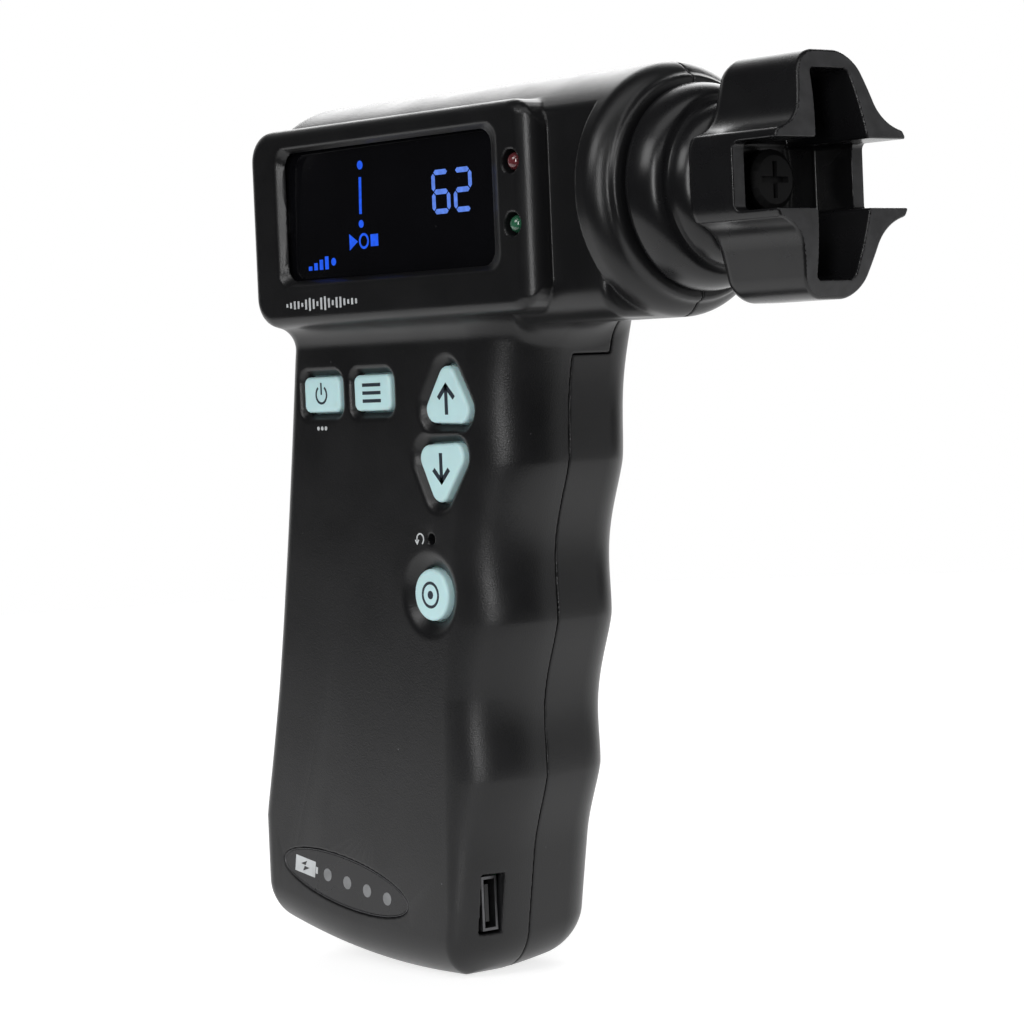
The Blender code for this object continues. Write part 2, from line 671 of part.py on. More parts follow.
def make_gearmotor(look):
    axis = (0, BARREL_Z)
    lay = (0, BARREL_Z + LAY_OFFSET)
    can_profile = [(MOTOR_X[0], 0), (MOTOR_X[0], MOTOR_R), (MOTOR_X[1] - 0.8, MOTOR_R),
                   (MOTOR_X[1], MOTOR_R - 0.8), (MOTOR_X[1], 1.4), (MOTOR_X[1] - 4, 1.4), (MOTOR_X[1] - 4, 0)]
    turned("motor_can", "X", axis, can_profile, look["steel"], steps=28)
    cap_profile = [(MOTOR_X[0] - 3.8, 0), (MOTOR_X[0] - 3.8, 9), (MOTOR_X[0] - 3.2, 11.2),
                   (MOTOR_X[0] - GAP, 11.2), (MOTOR_X[0] - GAP, 0)]
    turned("motor_end_cap", "X", axis, cap_profile, look["nylon"])

    start, stop = -11.0, 11.0
    cup = [(start, 13.9), (start, 14.5), (stop, 14.5), (stop, SHAFT_BORE_R), (stop - 2, SHAFT_BORE_R),
           (stop - 2, 13.9)]
    housing = turned("gearbox_housing", "X", axis, cup, look["steel"], steps=48)
    for side in (-1, 1):
        y_range = sorted((side * 11.8, side * 20))
        side_cut = block(f"housing_side_{side}", (start - 2, stop + 2), y_range, (80, 140))
        combine(housing, "DIFFERENCE", side_cut)
    combine(housing, "DIFFERENCE", rod("lay_pin_hole", "X", lay, 1.3, stop - 4, stop + 3, steps=16))
    rod("lay_pin", "X", lay, 1.0, -10.0, stop - 0.3, look["steel"], steps=16)

    pinion = prism("motor_pinion", "X", gear_outline(axis, MOTOR_TEETH, 90), -10.0, -4.0, look["brass"])
    combine(pinion, "UNION", rod("motor_shaft", "X", axis, 1.0, MOTOR_X[1] - 3.5, -9.0, steps=16))

    lay_phase = -90 + 180 / LAY_WHEEL_TEETH
    gear = prism("lay_gear", "X", gear_outline(lay, LAY_WHEEL_TEETH, lay_phase), -9.0, -5.0, look["nylon"])
    combine(gear, "UNION",
            prism("lay_pinion", "X", gear_outline(lay, LAY_PINION_TEETH, -90), -5.6, 4.6))
    combine(gear, "DIFFERENCE", rod("lay_bore", "X", lay, 1.25, -12, 12, steps=16))

    output_phase = 90 + 180 / OUTPUT_TEETH
    teeth = gear_outline(axis, OUTPUT_TEETH, output_phase)
    output = prism("output_gear", "X", teeth, -2.4, 3.6, look["nylon"])
    combine(output, "DIFFERENCE", rod("output_bore", "X", axis, SHAFT_R + 0.2, -12, 12, steps=24))

    ring("vibration_sensor", "X", axis, (3.7, 8.3), 12.6, 13.8, look["brass"])
    ring("nose_bush", "X", axis, (SHAFT_BORE_R, BORE_R - GAP), 15.5, NOSE_END_X - 0.5, look["brass"], steps=40)
    return pinion, gear, output


def head_outline():
    """The winder's outline in Y and Z: two lobes that flare into points on the hub's circle."""
    tip_y = math.sqrt(HUB_R ** 2 - NOTCH_HALF_Z ** 2)
    lobe = arc((LOBE_HALF_Y - LOBE_ROUND, LOBE_HALF_Z - LOBE_ROUND), (LOBE_ROUND, LOBE_ROUND), 90, 0, 4)
    flare = []
    for i in range(6):
        a = math.radians(75 * i / 5)
        y = LOBE_ROOT_Y + (tip_y - LOBE_ROOT_Y) * (1 - math.cos(a)) / (1 - math.cos(math.radians(75)))
        z = LOBE_ROOT_Z - (LOBE_ROOT_Z - NOTCH_HALF_Z - 0.35) * math.sin(a) / math.sin(math.radians(75))
        flare.append((y, z))
    hub_angle = math.degrees(math.asin(NOTCH_HALF_Z / HUB_R))
    hub = arc((0, 0), (HUB_R, HUB_R), hub_angle, 0, 3)
    quarter = lobe + flare + hub
    right = quarter + [(y, -z) for y, z in reversed(quarter[:-1])]
    outline = right + [(-y, z) for y, z in reversed(right)]
    return [(y, z + BARREL_Z) for y, z in outline]


def mouth_form():
    """Side view of the head in X and Z: a crowned mouth and round back corners."""
    reach = LOBE_HALF_Z + 0.01
    centre_x = HEAD_MOUTH_X - MOUTH_R
    limit = math.degrees(math.asin(reach / MOUTH_R))
    back_round = LOBE_BACK_ROUND
    back_x = HEAD_BACK_X + back_round
    low, high = BARREL_Z - reach, BARREL_Z + reach
    points = arc((centre_x, BARREL_Z), (MOUTH_R, MOUTH_R), -limit, limit, 14)
    points += arc((back_x, high - back_round), (back_round, back_round), 90, 180, 4)
    points += arc((back_x, low + back_round), (back_round, back_round), 180, 270, 4)
    return prism("mouth_form", "Y", points, -20, 20)


def make_winder(look, output):
    axis = (0, BARREL_Z)
    x0, x1 = COLLAR_X
    collar_profile = [(x0, SHAFT_BORE_R), (x0, 13.5), (x0 + 0.3, 13.8), (x0 + 1.8, 13.6), (x0 + 3.2, 13.1),
                      (x0 + 4.4, 12.1), (x0 + 5.1, 11.2), (x0 + 6.1, 10.7), (x0 + 7.2, 9.7),
                      (x1, 8.6), (x1, SHAFT_BORE_R)]
    collar = turned("bell_collar", "X", axis, collar_profile, look["head_black"], steps=36)

    far_x = HEAD_MOUTH_X + 6
    head = prism("winder_head", "X", head_outline(), HEAD_BACK_X - 1, far_x, look["head_black"])
    combine(head, "INTERSECT", mouth_form())
    narrow, wide = SLOT_HALF_Y
    side = [(narrow, SLOT_HALF_Z), (wide, NOTCH_HALF_Z), (wide, -NOTCH_HALF_Z), (narrow, -SLOT_HALF_Z)]
    slot = [(y, z + BARREL_Z) for y, z in side + [(-y, z) for y, z in reversed(side)]]
    z_range = (BARREL_Z - NOTCH_HALF_Z, BARREL_Z + NOTCH_HALF_Z)
    combine(head, "DIFFERENCE",
            prism("peg_slot", "X", slot, CAVITY_X, far_x + 5),
            block("peg_cavity", (CAVITY_X, far_x + 5), (-CAVITY_HALF_Y, CAVITY_HALF_Y), z_range),
            block("side_notch", (NOTCH_X, far_x + 5), (-30, 30), z_range),
            rod("head_bore", "X", axis, SHAFT_BORE_R, 35, 45))

    shaft = rod("output_shaft", "X", axis, SHAFT_R, -3.2, CAVITY_X - 0.5, look["steel"])
    combine(shaft, "DIFFERENCE", rod("shaft_tap", "X", axis, 1.6, CAVITY_X - 8, CAVITY_X + 5, steps=16))
    head_x = CAVITY_X + GAP
    screw_profile = [(head_x - 7, 0), (head_x - 7, SCREW_R), (head_x, SCREW_R), (head_x, 4.0),
                     (head_x + 1.4, 4.0), (head_x + 2.0, 3.2), (head_x + 2.0, 0)]
    screw = turned("winder_screw", "X", axis, screw_profile, look["steel"], steps=20)
    for k, (dy, dz) in enumerate(((2.4, 0.4), (0.4, 2.4))):
        z_slot = (BARREL_Z - dz, BARREL_Z + dz)
        combine(screw, "DIFFERENCE", block(f"winder_slot_{k}", (head_x + 1.0, head_x + 5), (-dy, dy), z_slot))
    return [collar, head, shaft, screw, output]


def main():
    for old in list(bpy.data.objects):
        bpy.data.objects.remove(old, do_unlink=True)
    look = make_materials()
    make_shells(look)
    make_display(look)
    make_keys(look)
    make_boards(look)
    make_charge_set(look)
    make_usb(look)
    make_screws(look)
    pinion, gear, output = make_gearmotor(look)
    turning = make_winder(look, output)
    carry(spindle("motor_axis", -7, 0, BARREL_Z), pinion)
    carry(spindle("lay_axis", -2, 0, BARREL_Z + LAY_OFFSET), gear)
    carry(spindle("winder_axis", HEAD_BACK_X, 0, BARREL_Z), *turning)


main()
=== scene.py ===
"""The looks of a handheld motorised peg winder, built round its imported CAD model.

Named sizes are millimetres. Named X places are counted as in the CAD source, from a point ORIGIN_X
away from the middle of the frame. The shells and the winder head are signed distance fields, turned
into meshes; the smaller pieces are lofts and turnings.
"""

import math

import bmesh
import bpy
import numpy as np
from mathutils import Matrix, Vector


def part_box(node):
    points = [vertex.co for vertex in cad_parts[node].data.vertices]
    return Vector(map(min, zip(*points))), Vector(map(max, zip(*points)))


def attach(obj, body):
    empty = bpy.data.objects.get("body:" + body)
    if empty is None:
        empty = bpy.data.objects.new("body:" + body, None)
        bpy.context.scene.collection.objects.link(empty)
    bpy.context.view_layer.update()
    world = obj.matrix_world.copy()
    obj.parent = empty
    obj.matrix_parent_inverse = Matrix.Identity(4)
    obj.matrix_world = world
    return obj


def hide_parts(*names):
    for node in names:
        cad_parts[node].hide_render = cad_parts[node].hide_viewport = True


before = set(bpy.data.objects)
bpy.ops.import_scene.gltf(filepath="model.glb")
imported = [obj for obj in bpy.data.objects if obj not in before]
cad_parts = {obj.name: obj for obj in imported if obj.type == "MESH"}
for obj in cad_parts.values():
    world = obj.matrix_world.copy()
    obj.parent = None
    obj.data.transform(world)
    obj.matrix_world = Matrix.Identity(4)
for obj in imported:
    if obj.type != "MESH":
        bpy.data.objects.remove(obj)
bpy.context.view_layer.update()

import openvdb
from mathutils import Matrix, Vector

MM = 0.001
ORIGIN_X = -0.345

# Camera, in degrees and millimetres.
CAMERA_AZIMUTH = 49.45
CAMERA_ELEVATION = 2.19
CAMERA_ROLL = 2.41
CAMERA_DISTANCE = 480.62
CAMERA_LENS = 118.89
CAMERA_TARGET = (-9.935, 0.0, 65.86)

# Floor, lights and world.
FLOOR_RADIUS = 520.0
FLOOR_SHIFT = 400.0
FLOOR_DEPTH = 4.0
FLOOR_GLOW = 0.76
LIGHT_TARGET = (0, 0, 0.075)
# Each softbox's name, azimuth, elevation, distance, size and power, in degrees, metres and watts.
SOFTBOXES = (
    ("key", 36, 9, 0.9, (0.17, 0.6), 3.2),
    ("key_fill", 0, 35, 0.9, (0.4, 0.4), 2.5),
    ("scoops", 62, 30, 0.9, (0.5, 0.14), 0.45),
    ("top", 60, 66, 0.8, (0.9, 0.4), 1.6),
    ("side", 130, 12, 0.9, (0.5, 0.8), 0.8),
    ("back_top", -140, 30, 0.9, (0.8, 0.45), 3.0),
)
WORLD_RAMP = {"From Min": 0.42, "From Max": 0.85, "To Min": 0.02, "To Max": 1.0}

# Field steps and mesh sizes.
SHELL_STEP = 0.3
HEAD_STEP = 0.16
SHELL_FACES = {"front": 190000, "rear": 130000}
HEAD_FACES = 150000
BAND = 1.2
NORMAL_REACH = 1.2
CRISP_ANGLE = math.radians(11)

# Barrel.
BARREL_Z = 109.0
BARREL_R = 17.0
BARREL_BACK_X = -50.0
BARREL_BACK_ROUND = 6.0
NOSE_END_X = 30.55
NOSE_ROUND = 3.4
NOSE_LIP_LENGTH = 0.75
NOSE_LIP_R = 15.1
NOSE_LIP_ROUND = 0.8
NOSE_LIP_FILLET = 0.4
NOSE_SOLID_X = 22.6
BORE_R = 9.3
BORE_OVERLAP = 4.0
VALLEY_STOP_X = 24.6
VALLEY_Y = -12.6
VALLEY_EDGE = 0.35
CORE_X = (4.0, 25.1)
CORE_LOW_Z = 92.2
CORE_ROUND = 4.5
CORE_EDGE = 1.2

# Display block.
BLOCK_X = (-47.6, 15.0)
BLOCK_Z = (93.6, 122.2)
BLOCK_Y = -16.3
BLOCK_ROUND = 4.4
BLOCK_EDGE = 1.7
BLOCK_LAMP_SIDE_EDGE = 3.0
BLOCK_BACK_Y = -2.0
WINDOW_X = (-41.2, 8.6)
WINDOW_Z = (99.4, 119.4)
WINDOW_ROUND = 2.2
GLASS_X = (-39.8, 5.7)
GLASS_Z = (100.4, 118.5)
GLASS_Y = -14.95
REBATE = 1.5
REBATE_ROUND = 1.6
LED_X = 11.2
LED_Z = {"red": 113.8, "green": 105.4}
LED_R = 1.5
LED_FLANGE_R = 1.7
LED_HOLE_R = 1.6
LED_HOLE_Y = (-20.0, -9.0)
LAMP_R = 1.25
LAMP_Y = (-16.2, -12.2)

# Grip.
GRIP_SLOPE = 1 / 6
GRIP_TOP_Z = 95.0
GRIP_FRONT_Y = -12.0
GRIP_REAR_Y = 14.0
RIDGE_Z = 73.0
RIDGE_X = 2.5
RIDGE_PITCH = 22.3
SCOOP_DEPTH = 1.6
SCOOP_POWER = 1.45
SCOOPS_BELOW_RIDGE = 2.5
TOP_SCOOP_DEPTH = 1.0
PALM_X = -42.4
PALM_LOWEST_X = -57.7
PALM_BOW = 0.7
PALM_BOW_Z = (19.0, 89.0)
CREASE_WIDTH = (6.0, 10.0)
CREASE_Z = (10.0, 40.0)
PALM_ROUND = 3.0
REAR_ROUND = 7.0
FINGER_CORNER_Y = -1.5
FOOT_ROUND = 6.0
FOOT_FADE_Z = (8.0, 40.0)
FOOT_RISE_X = (-20.0, -57.0)
FOOT_RISE = 5.2
FOOT_REAR_RISE = 2.2
FOOT_REAR_POWER = 1.4
WALL = 2.0
GRIP_FILLET = 3.6
BLOCK_FILLET = 0.2

# Openings: how deep those of the front reach, and the rounds along their edges.
FRONT_WALL_Y = -8.0
EDGES = {"pocket": 0.3, "window": 0.14, "lamp": 0.2, "reset": 0.1, "charge": 0.1, "inlet": 0.2,
         "screw": 0.2, "bore": 0.2, "seam": 0.1}

# Seam between the shell halves, with the front half's tab below the barrel.
SEAM_HALF = 0.06
TAB_X = (-2.0, 20.0)
TAB_Y = (-1.0, 7.0)
TAB_Z = (87.8, 96.0)

# Keys and small openings.
KEY_TOP_Y = -11.9
KEY_CLEARANCE = 0.25
KEY_EDGE = 0.55
KEY_FLANGE = 0.8
KEY_FLANGE_Y = (-9.7, -8.9)
KEY_ROOM_Y = (-10.0, -8.0)
POCKET_DEPTH = 1.2
RECT_KEYS = {"power": (-38.0, 83.6), "mode": (-26.2, 83.6)}
RECT_KEY_SIZE = (8.4, 5.2)
RECT_KEY_ROUND = 1.1
TRIANGLE_KEYS = {
    "up": ((-9.3, 88.6), (-3.4, 78.7), (-15.8, 79.1)),
    "down": ((-17.1, 75.9), (-4.4, 76.3), (-12.2, 66.2)),
}
TRIANGLE_KEY_ROUND = 1.9
ROUND_KEY = ("mark", (-14.8, 54.8), 3.7)
POCKET_MARGIN = {"power": 1.1, "mode": 1.1, "up": 1.5, "down": 1.5, "mark": 2.1}
RESET_POS = (-14.0, 62.7)
RESET_R = 0.8
RESET_Y = (-20.0, -8.0)
WAVE_MARK = (-39.4, 96.7)
WAVE_BARS = 19
WAVE_PITCH = 0.9
CHARGE_POS = (-37.4, 12.2)
CHARGE_HALF = (14.8, 3.7)
CHARGE_TILT = math.radians(-9.6)
CHARGE_LED_PITCH = 4.7
CHARGE_LED_FIRST = -4.2
USB_X = (-25.0, 0.0)
USB_Y = (-8.5, -5.0)
USB_Z = (6.5, 15.0)
SCREWS = ((-49.0, 28.0), (-14.5, 30.0), (-38.0, 91.8), (-4.5, 90.2), (-43.6, 109.0))
POST_R = 3.4
POST_Y = (-30.0, 30.0)
SCREW_RECESS_R = 2.8
SCREW_RECESS_Y = (6.0, 30.0)
SCREW_HOLE_R = 1.5
SCREW_HOLE_Y = (-8.5, 30.0)

# How far the prints stand out of a face, and how far they reach into it.
KEY_PRINT = (-0.02, 0.06)
SHELL_PRINT = (-0.025, 0.1)
READOUT_PRINT = (-0.03, 0.05)
CHARGE_PRINT = (0.0, 0.06)
BOLT_PRINT = (-0.015, 0.06)

# Winder.
COLLAR_X = (30.9, 39.7)
COLLAR_BORE_R = 3.3
COLLAR_STEPS = 14
COLLAR_LIP = ((0.0, 13.45), (0.12, 13.7))
COLLAR_RING_X = 0.35
COLLAR_RING_LENGTH = 4.7
COLLAR_RING_R = 11.3
COLLAR_RING_HEIGHT = 2.5
COLLAR_RING_POWER = 0.9
COLLAR_GROOVE = (5.25, 10.95)
COLLAR_NECK_X = 5.55
COLLAR_NECK_R = 8.6
COLLAR_NECK_HEIGHT = 2.25
HEAD_BACK_X = 40.0
HEAD_MOUTH_X = 57.24
MOUTH_R = 42.7
HUB_R = 12.7
HUB_FLAT_Y = 12.0
LOBE_HALF_Z = 15.9
LOBE_HALF_Y = 5.8
LOBE_SHOULDER_Z = 12.9
LOBE_ROOT = (6.9, 9.2)
LOBE_ROUND = 3.0
HEAD_BACK_ROUND = 2.3
FLARE_RADII = (6.19, 4.9)
NOTCH_HALF_Z = 4.4
NOTCH_X = 49.2
CAVITY_X = 42.5
CAVITY_HALF_Y = 9.8
SLOT_HALF_Z = 13.4
SLOT_HALF_Y = (3.4, 4.7)
SLOT_ROUND = 0.7
CROSS_ROUND = 0.6
NOTCH_ROUND = 0.9
CAVITY_FLOOR_ROUND = 0.5
HEAD_BORE_REACH = 1.0
HEAD_EDGE = 0.3
RIM_EDGE = 0.35
RIM_FACING = 0.9
RIM_DEPTH = 0.5


# ---- outlines


def arc(centre, radius, start, stop, steps):
    """Points of a circular arc, angles in degrees."""
    angles = [math.radians(start + (stop - start) * i / steps) for i in range(steps + 1)]
    return [(centre[0] + radius * math.cos(a), centre[1] + radius * math.sin(a)) for a in angles]


def quarter_turn(steps):
    """Angles from 0 to 90 degrees, in radians."""
    return [math.radians(90 * i / steps) for i in range(steps + 1)]


def circle(centre, radius, steps):
    return arc(centre, radius, 0, 360, steps)[:-1]


def rounded(corners, radius, steps=8):
    """A convex outline with each corner replaced by an arc."""
    corners = [Vector(c) for c in corners]
    points = []
    for i, corner in enumerate(corners):
        to_last = (corners[i - 1] - corner).normalized()
        to_next = (corners[(i + 1) % len(corners)] - corner).normalized()
        half = to_last.angle(to_next) / 2
        centre = corner + (to_last + to_next).normalized() * (radius / math.sin(half))
        first = corner + to_last * (radius / math.tan(half)) - centre
        last = corner + to_next * (radius / math.tan(half)) - centre
        for k in range(steps + 1):
            points.append(tuple(centre + first.lerp(last, k / steps).normalized() * radius))
    return points


def rectangle(x_range, z_range):
    return [(x_range[0], z_range[0]), (x_range[1], z_range[0]),
            (x_range[1], z_range[1]), (x_range[0], z_range[1])]


def rectangle_at(centre, size):
    x, z = centre
    return rectangle((x - size[0] / 2, x + size[0] / 2), (z - size[1] / 2, z + size[1] / 2))


def moved_in(outline, inset):
    """A convex outline moved in by inset, point for point."""
    points = [Vector(p) for p in outline]
    middle = sum(points, Vector((0, 0))) / len(points)
    result = []
    for i, point in enumerate(points):
        along = (points[(i + 1) % len(points)] - points[i - 1]).normalized()
        normal = Vector((along.y, -along.x))
        if normal.dot(point - middle) < 0:
            normal = -normal
        result.append(tuple(point - normal * inset))
    return result


def key_outlines():
    """The outline of each key, in X and Z."""
    outlines = {}
    for name, pos in RECT_KEYS.items():
        outlines[name] = rounded(rectangle_at(pos, RECT_KEY_SIZE), RECT_KEY_ROUND)
    for name, corners in TRIANGLE_KEYS.items():
        outlines[name] = rounded(corners, TRIANGLE_KEY_ROUND, 12)
    outlines[ROUND_KEY[0]] = circle(ROUND_KEY[1], ROUND_KEY[2], 48)
    return outlines


def on_charge(u, v=0.0):
    """A point on the tilted charge window, in X and Z."""
    cos, sin = math.cos(CHARGE_TILT), math.sin(CHARGE_TILT)
    return (CHARGE_POS[0] + u * cos - v * sin, CHARGE_POS[1] + u * sin + v * cos)


def charge_outline(inset=0.0, steps=96):
    """A long oval along the foot."""
    half_u, half_v = (half - inset for half in CHARGE_HALF)
    angles = [2 * math.pi * i / steps for i in range(steps)]
    return [on_charge(half_u * math.cos(a), half_v * math.sin(a)) for a in angles]


# ---- distance fields


class Field:
    """A grid of points in millimetres, for signed distances that are negative inside."""

    def __init__(self, low, high, step):
        self.low = np.array(low, dtype=np.float32)
        self.step = step
        counts = [int(math.ceil((b - a) / step)) + 1 for a, b in zip(low, high)]
        lines = [self.low[i] + np.arange(n, dtype=np.float32) * np.float32(step)
                 for i, n in enumerate(counts)]
        self.x = lines[0][:, None, None]
        self.y = lines[1][None, :, None]
        self.z = lines[2][None, None, :]

    def sample(self, values, points):
        """Values between the grid's points, by trilinear interpolation."""
        place = (points - self.low) / self.step
        top = np.array(values.shape) - 2
        base = np.clip(np.floor(place).astype(np.int64), 0, top)
        part = np.clip(place - base, 0, 1)
        total = 0.0
        for corner in range(8):
            offset = np.array([(corner >> k) & 1 for k in range(3)])
            weight = np.prod(np.where(offset, part, 1 - part), axis=1)
            i, j, k = (base + offset).T
            total = total + weight * values[i, j, k]
        return total

    def normals(self, values, points):
        """Unit gradients of the values at points."""
        reach = self.step * 0.6
        slopes = []
        for axis in range(3):
            nudge = np.zeros(3)
            nudge[axis] = reach
            slopes.append(self.sample(values, points + nudge) - self.sample(values, points - nudge))
        found = np.stack(slopes, axis=1)
        return found / np.maximum(np.linalg.norm(found, axis=1, keepdims=True), 1e-9)


def both(a, b, radius=0.0):
    """The overlap of two distances, with a convex round along the edge between them."""
    if radius == 0:
        return np.maximum(a, b)
    outside = np.hypot(np.maximum(a + radius, 0), np.maximum(b + radius, 0))
    return np.minimum(np.maximum(a, b), -radius) + outside


def either(a, b, radius=0.0):
    """The union of two distances, with a concave fillet along the edge between them."""
    if radius == 0:
        return np.minimum(a, b)
    inside = np.hypot(np.maximum(radius - a, 0), np.maximum(radius - b, 0))
    return np.maximum(np.minimum(a, b), radius) - inside


def without(a, b, radius=0.0):
    return both(a, -b, radius)


def slab(along, limits):
    return np.maximum(limits[0] - along, along - limits[1])


def box_distance(field, x_range, y_range, z_range):
    return both(both(slab(field.x, x_range), slab(field.y, y_range)), slab(field.z, z_range))


def outline_distance(a, b, outline):
    """Distance to a convex outline: the farthest of its sides."""
    middle = np.mean(outline, axis=0)
    result = None
    for (a0, b0), (a1, b1) in zip(outline, outline[1:] + outline[:1]):
        length = math.hypot(a1 - a0, b1 - b0)
        if length < 1e-6:
            continue
        na, nb = (b1 - b0) / length, (a0 - a1) / length
        if na * (a0 - middle[0]) + nb * (b0 - middle[1]) < 0:
            na, nb = -na, -nb
        side = (na * (a - a0) + nb * (b - b0)).astype(np.float32)
        result = side if result is None else np.maximum(result, side)
    return result


def ellipse_distance(a, b, radii):
    """Close to the distance to an ellipse about the origin, near its edge."""
    size = np.hypot(a / radii[0], b / radii[1])
    slope = np.hypot(a / radii[0] ** 2, b / radii[1] ** 2)
    return size * (size - 1) / np.maximum(slope, 1e-4)


# ---- housing


def scoop(z):
    """Depth of the finger scoops at a height, below the line of the ridges."""
    depth = np.where(z > RIDGE_Z, TOP_SCOOP_DEPTH, SCOOP_DEPTH)
    wave = np.abs(np.sin(math.pi * (z - RIDGE_Z) / RIDGE_PITCH)) ** SCOOP_POWER
    return np.where(z < RIDGE_Z - SCOOPS_BELOW_RIDGE * RIDGE_PITCH, depth, depth * wave)


def foot_rise(x, y, z):
    """How far the foot curves up towards the palm and the rear, fading out up the grip."""
    start, stop = FOOT_RISE_X
    towards_palm = np.clip((x - start) / (stop - start), 0, None) ** 2
    towards_rear = np.clip((y - FINGER_CORNER_Y) / (GRIP_REAR_Y - FINGER_CORNER_Y), 0, None)
    rise = FOOT_RISE * towards_palm + FOOT_REAR_RISE * towards_rear ** FOOT_REAR_POWER
    low, high = FOOT_FADE_Z
    return rise * np.clip((high - z) / (high - low), 0, 1)


def grip_distance(field):
    """The grip: a flat front, an elliptical finger corner, and a sloping foot with round edges."""
    x, y, z = field.x, field.y, field.z
    level = z - foot_rise(x, y, z)
    level = z - foot_rise(x, y, level)
    line = RIDGE_X + GRIP_SLOPE * (level - RIDGE_Z)
    low, high = PALM_BOW_Z
    bow = PALM_BOW * np.maximum(np.sin(math.pi * (high - level) / (high - low)), 0)
    palm = np.maximum(PALM_X + GRIP_SLOPE * (level - BARREL_Z), PALM_LOWEST_X)
    palm = palm + np.where(level > low, bow, 0)
    finger = line - scoop(level)
    share = np.clip((level - CREASE_Z[0]) / (CREASE_Z[1] - CREASE_Z[0]), 0, 1)
    crease = line - CREASE_WIDTH[0] - share * (CREASE_WIDTH[1] - CREASE_WIDTH[0])

    past_crease = np.maximum(x - crease, 0)
    past_corner = np.maximum(FINGER_CORNER_Y - y, 0)
    depth = FINGER_CORNER_Y - GRIP_FRONT_Y
    corner = ellipse_distance(past_crease, past_corner, (finger - crease, depth))
    # At the ellipse's middle its distance has no slope, so a plain depth takes its place there.
    corner = np.where((past_crease > 0.02) | (past_corner > 0.02), corner, -depth)

    section = both(palm - x, GRIP_FRONT_Y - y, PALM_ROUND)
    section = both(section, corner)
    section = both(section, both(palm - x, y - GRIP_REAR_Y, REAR_ROUND))
    section = both(section, both(x - finger, y - GRIP_REAR_Y, REAR_ROUND))
    grip = both(section, -level, FOOT_ROUND)
    return both(grip, z - GRIP_TOP_Z)


def barrel_distance(field):
    """The barrel with its round back and nose, cut flat in front as far as the nose."""
    x, y = field.x, field.y
    radius = np.hypot(y, field.z - BARREL_Z)
    barrel = both(radius - BARREL_R, BARREL_BACK_X - x, BARREL_BACK_ROUND)
    barrel = both(barrel, x - NOSE_END_X + NOSE_LIP_LENGTH, NOSE_ROUND)
    lip = both(both(radius - NOSE_LIP_R, x - NOSE_END_X, NOSE_LIP_ROUND), CORE_X[1] - x)
    barrel = either(barrel, lip, NOSE_LIP_FILLET)
    return without(barrel, both(x - VALLEY_STOP_X, y - VALLEY_Y), VALLEY_EDGE)


def core_distance(field):
    """The flat-fronted body behind the block, under the barrel."""
    front = both(VALLEY_Y - field.y, CORE_LOW_Z - field.z, CORE_ROUND)
    core = both(both(front, field.y), field.z - BARREL_Z)
    return both(core, slab(field.x, CORE_X), CORE_EDGE)


def block_distance(field):
    """The display block, with a larger round on the side of the lamps."""
    outline = rounded(rectangle(BLOCK_X, BLOCK_Z), BLOCK_ROUND)
    side = outline_distance(field.x, field.z, outline)
    block = both(side, BLOCK_Y - field.y, BLOCK_EDGE)
    lamp_side = both(field.x - BLOCK_X[1], BLOCK_Y - field.y, BLOCK_LAMP_SIDE_EDGE)
    return both(both(block, lamp_side), field.y - BLOCK_BACK_Y)


def window_distance(field):
    """The display window: a bevelled frame down to the glass, then the rebate behind it."""
    x, y, z = field.x, field.y, field.z
    share = np.clip((y - BLOCK_Y) / (GLASS_Y - BLOCK_Y), 0, 1)
    x_range = [a + share * (b - a) for a, b in zip(WINDOW_X, GLASS_X)]
    z_range = [a + share * (b - a) for a, b in zip(WINDOW_Z, GLASS_Z)]
    opening = both(slab(x, x_range), slab(z, z_range), WINDOW_ROUND)
    rebate = outline_distance(x, z, rounded(rectangle(GLASS_X, GLASS_Z), REBATE_ROUND))
    return either(opening, both(rebate - REBATE, GLASS_Y - y))


def pocket_distance(field, outline, margin):
    """A key's dished pocket and its aperture."""
    beside = outline_distance(field.x, field.z, outline) - KEY_CLEARANCE
    angle = math.atan2(margin - KEY_CLEARANCE, POCKET_DEPTH)
    above = GRIP_FRONT_Y + POCKET_DEPTH - field.y
    dish = beside * math.cos(angle) - above * math.sin(angle)
    return either(beside + 0 * field.y, dish)


def rod_distance(field, centre, radius, y_range):
    beside = np.hypot(field.x - centre[0], field.z - centre[1]) - radius
    return both(beside, slab(field.y, y_range))


